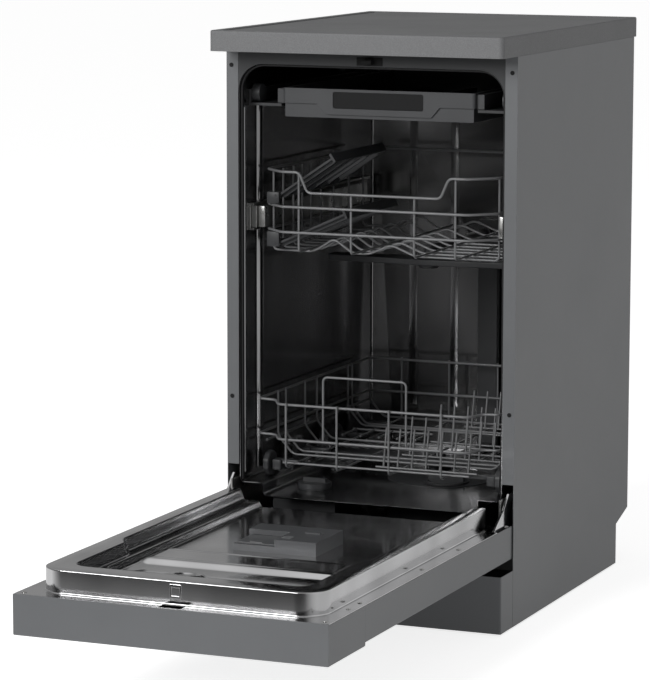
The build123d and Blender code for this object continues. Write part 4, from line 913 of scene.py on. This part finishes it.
def rising(nodes, links, value, none_at, full_at):
    """A share that grows from 0 to 1 as the value goes from one place to the other."""
    node = nodes.new("ShaderNodeMapRange")
    node.inputs["From Min"].default_value = none_at
    node.inputs["From Max"].default_value = full_at
    links.new(value, node.inputs["Value"])
    return node.outputs["Result"]


# Shares of the floor and the world in reflections: where each one is 0 and where it is 1.
FLOOR = dict(half=60.0, dark_x=(1.2, 0.5), dark_y=(-0.78, -1.35), pale=(0.9, 0.9, 0.9),
             dark=(0.025, 0.025, 0.025), mirrored_glow=0.4)
STUDIO = dict(front_x=(0.6, 0.3), front_y=(-0.2, -0.6), right_x=(0.5, 0.8), top_z=(0.6, 0.9),
              rear_right_x=(0.2, 0.36), rear_right_y=(0.4, 0.7))


def floor_material(look):
    """A pale floor that reads as white, and is dark in reflections in front of the machine."""
    material, nodes, links, shader, coords = start_material("pale_floor")
    path = nodes.new("ShaderNodeLightPath").outputs
    mirrored = math_node(nodes, links, "MAXIMUM", path["Is Glossy Ray"], path["Is Transmission Ray"])
    split = nodes.new("ShaderNodeSeparateXYZ")
    links.new(coords, split.inputs[0])
    front = math_node(nodes, links, "MULTIPLY", rising(nodes, links, split.outputs["Y"], *FLOOR["dark_y"]),
                      rising(nodes, links, split.outputs["X"], *FLOOR["dark_x"]))
    dark = math_node(nodes, links, "MULTIPLY", mirrored, front)
    ramp_between(nodes, links, dark, FLOOR["pale"], FLOOR["dark"], shader.inputs["Base Color"], (0.0, 1.0))
    lit = math_node(nodes, links, "MULTIPLY", path["Is Camera Ray"], look.floor_glow)
    pale = math_node(nodes, links, "SUBTRACT", mirrored, dark)
    mirrored_glow = math_node(nodes, links, "MULTIPLY", pale, FLOOR["mirrored_glow"])
    glow = math_node(nodes, links, "ADD", lit, mirrored_glow)
    bounced = math_node(nodes, links, "MULTIPLY", path["Is Diffuse Ray"], look.floor_bounce)
    links.new(math_node(nodes, links, "ADD", glow, bounced), shader.inputs["Emission Strength"])
    shader.inputs["Emission Color"].default_value = (1, 1, 1, 1)
    shader.inputs["Roughness"].default_value = 0.9
    shader.inputs["Specular IOR Level"].default_value = 0.0
    return material


def build_stage():
    look = bpy.context.scene.dishwasher_stage
    bm = bmesh.new()
    bmesh.ops.create_grid(bm, x_segments=1, y_segments=1, size=FLOOR["half"])
    floor = mesh_object("floor", bm)
    floor.data.materials.append(floor_material(look))

    world = bpy.data.worlds.new("studio")
    bpy.context.scene.world = world
    world.use_nodes = True
    nodes, links = world.node_tree.nodes, world.node_tree.links
    back = nodes["Background"]
    back.inputs["Color"].default_value = (1, 1, 1, 1)
    path = nodes.new("ShaderNodeLightPath").outputs
    mirrored = math_node(nodes, links, "MAXIMUM", path["Is Glossy Ray"], path["Is Transmission Ray"])
    direction = nodes.new("ShaderNodeTexCoord").outputs["Generated"]
    split = nodes.new("ShaderNodeSeparateXYZ")
    links.new(direction, split.inputs[0])
    x, y, z = split.outputs["X"], split.outputs["Y"], split.outputs["Z"]
    front = math_node(nodes, links, "MULTIPLY", rising(nodes, links, y, *STUDIO["front_y"]),
                      rising(nodes, links, x, *STUDIO["front_x"]))
    bright = math_node(nodes, links, "MAXIMUM", rising(nodes, links, x, *STUDIO["right_x"]),
                       rising(nodes, links, z, *STUDIO["top_z"]))
    behind = math_node(nodes, links, "MULTIPLY", rising(nodes, links, x, *STUDIO["rear_right_x"]),
                       rising(nodes, links, y, *STUDIO["rear_right_y"]))
    bright = math_node(nodes, links, "MAXIMUM", bright, behind)
    darker = math_node(nodes, links, "MULTIPLY", front, look.reflected_front - look.reflected_back)
    lighter = math_node(nodes, links, "MULTIPLY", bright, look.reflected_side - look.reflected_back)
    change = math_node(nodes, links, "ADD", darker, lighter)
    studio = math_node(nodes, links, "ADD", change, look.reflected_back)
    seen = math_node(nodes, links, "MULTIPLY", mirrored, studio)
    even = math_node(nodes, links, "MULTIPLY", path["Is Diffuse Ray"], look.sky)
    total = math_node(nodes, links, "ADD", math_node(nodes, links, "ADD", seen, even), path["Is Camera Ray"])
    links.new(total, back.inputs["Strength"])

    add_lamp("key_lamp", (-1.4, -4.0, 2.4), look.key)
    add_lamp("fill_lamp", (3.6, -1.6, 2.0), look.fill)
    add_camera()


LAMP_TARGET = (0.0, 0.0, 0.4)
LAMP_SIZE = 2.4


def add_lamp(name, place, power):
    """A soft round lamp that points at the middle of the machine."""
    data = bpy.data.lights.new(name, "AREA")
    data.shape = "DISK"
    data.size = LAMP_SIZE
    data.energy = power
    lamp = linked(name, data)
    lamp.location = place
    lamp.rotation_euler = (Vector(LAMP_TARGET) - Vector(place)).to_track_quat("-Z", "Y").to_euler()


CAMERA_PLACE = (1808.1, -4396.7, 1116.7)
CAMERA_TURNS = (22.813, 8.435, 0.085)
FRAME_HEIGHT = 680
FOCAL_LENGTH = 3372
SENSOR = 36.0


def add_camera():
    """The photograph's camera: its lens and shift are worked out from pixels of a 650 by 680 frame."""
    yaw, pitch, roll = (math.radians(a) for a in CAMERA_TURNS)
    data = bpy.data.cameras.new("photo_camera")
    data.sensor_width = SENSOR
    data.lens = FOCAL_LENGTH / FRAME_HEIGHT * SENSOR
    data.shift_x = -1.0 / FRAME_HEIGHT
    data.shift_y = 2.0 / FRAME_HEIGHT
    data.clip_end = 100.0
    camera = linked("photo_camera", data)
    camera.location = point(*CAMERA_PLACE)
    forward = Vector((-math.sin(yaw) * math.cos(pitch), math.cos(yaw) * math.cos(pitch), -math.sin(pitch)))
    camera.rotation_mode = "QUATERNION"
    level = forward.to_track_quat("-Z", "Y")
    camera.rotation_quaternion = level @ Matrix.Rotation(roll, 3, "Z").to_quaternion()
    bpy.context.scene.camera = camera
    bpy.context.scene.view_settings.view_transform = "Standard"


# Add-on


class DishwasherColours(bpy.types.PropertyGroup):
    enamel: bpy.props.FloatVectorProperty(
        name="Enamel", description="Colour of the cabinet, the kick plate and the door's outer panel",
        subtype="COLOR", size=3, min=0, max=1, default=(0.121, 0.1256, 0.1312))
    worktop: bpy.props.FloatVectorProperty(
        name="Worktop", description="Colour of the worktop's laminate", subtype="COLOR", size=3, min=0, max=1,
        default=(0.16, 0.162, 0.166))
    dark_plastic: bpy.props.FloatVectorProperty(
        name="Dark plastic", description="Colour of the dispenser, wheels, shelves and spray arms",
        subtype="COLOR", size=3, min=0, max=1, default=(0.035, 0.036, 0.038))
    # The tub's darker shade of this steel is painted shade for the dim inside of the tub; the tub's steel is
    # the same as the liner's.
    steel: bpy.props.FloatVectorProperty(
        name="Polished steel", description="Colour of the door's liner; the tub is a darker shade of it",
        subtype="COLOR", size=3, min=0, max=1, default=(0.48, 0.48, 0.485))
    wire: bpy.props.FloatVectorProperty(
        name="Wire coating", description="Colour of the coated wire of both racks", subtype="COLOR", size=3,
        min=0, max=1, default=(0.15, 0.152, 0.156))


class DishwasherStage(bpy.types.PropertyGroup):
    sky: bpy.props.FloatProperty(
        name="Sky light", description="Strength of the even light from all round", default=0.2, min=0)
    reflected_back: bpy.props.FloatProperty(
        name="Reflected studio", description="Brightness of the studio in reflections", default=0.34, min=0)
    reflected_front: bpy.props.FloatProperty(
        name="Reflected front", description="The same in front of the machine", default=0.05, min=0)
    reflected_side: bpy.props.FloatProperty(
        name="Reflected side", description="The same at the right and overhead", default=0.95, min=0)
    key: bpy.props.FloatProperty(
        name="Key lamp", description="Power of the lamp at the front left", default=148.0, min=0,
        unit="POWER")
    fill: bpy.props.FloatProperty(
        name="Fill lamp", description="Power of the lamp at the right", default=2.0, min=0, unit="POWER")
    floor_glow: bpy.props.FloatProperty(
        name="Floor glow", description="Light that the floor adds in the camera's view", default=0.8, min=0)
    floor_bounce: bpy.props.FloatProperty(
        name="Floor bounce", description="Light that the floor throws up on the object", default=0.3, min=0)


class BuildOperator:
    bl_options = {"REGISTER", "UNDO"}

    def execute(self, context):
        self.build()
        return {"FINISHED"}


def operator(idname, label, doc, *builders):
    """An operator class that runs the given builders in order."""
    def build(self):
        for builder in builders:
            builder()
    name = "DISHWASHER_OT_" + idname
    return type(name, (BuildOperator, bpy.types.Operator),
                {"bl_idname": "dishwasher." + idname, "bl_label": label, "__doc__": doc, "build": build})


OPERATORS = (
    operator("worktop", "Worktop", "Builds the worktop", build_worktop),
    operator("cabinet", "Cabinet", "Builds the panels, the header and the kick plate", build_cabinet),
    operator("machine_bay", "Machine bay", "Finishes the pumps, valves, feet and rails", build_machine_bay),
    operator("tub", "Tub", "Builds the polished tub and its seal", build_tub),
    operator("door", "Door", "Builds the door and its steel liner", build_door),
    operator("dispenser", "Dispenser", "Finishes the dispenser", build_dispenser),
    operator("lower_rack", "Lower rack", "Builds the lower rack and its wheels", build_lower_rack,
             build_wheels),
    operator("upper_rack", "Upper rack", "Builds the upper rack", build_upper_rack, build_cup_shelves),
    operator("spray_arms", "Spray arms", "Finishes the spray arms", build_spray_arms),
    operator("cutlery_tray", "Cutlery tray", "Builds the cutlery tray", build_cutlery_tray),
    operator("stage", "Stage", "Builds the floor, the lamps and the camera", build_stage),
)


class DISHWASHER_PT_panel(bpy.types.Panel):
    """Colours, stage and one button for each group of pieces"""
    bl_label = "Dishwasher"
    bl_idname = "DISHWASHER_PT_panel"
    bl_space_type = "VIEW_3D"
    bl_region_type = "UI"
    bl_category = "Dishwasher"

    def draw(self, context):
        layout = self.layout
        for holder in (context.scene.dishwasher_colours, context.scene.dishwasher_stage):
            for key in holder.__annotations__:
                layout.prop(holder, key)
        for cls in OPERATORS:
            layout.operator(cls.bl_idname)


CLASSES = (DishwasherColours, DishwasherStage, *OPERATORS, DISHWASHER_PT_panel)


def register():
    for cls in CLASSES:
        bpy.utils.register_class(cls)
    bpy.types.Scene.dishwasher_colours = bpy.props.PointerProperty(type=DishwasherColours)
    bpy.types.Scene.dishwasher_stage = bpy.props.PointerProperty(type=DishwasherStage)


def unregister():
    del bpy.types.Scene.dishwasher_stage
    del bpy.types.Scene.dishwasher_colours
    for cls in reversed(CLASSES):
        bpy.utils.unregister_class(cls)


def main():
    register()
    for cls in OPERATORS:
        group, name = cls.bl_idname.split(".")
        getattr(getattr(bpy.ops, group), name)()


if __name__ == "__main__":
    main()
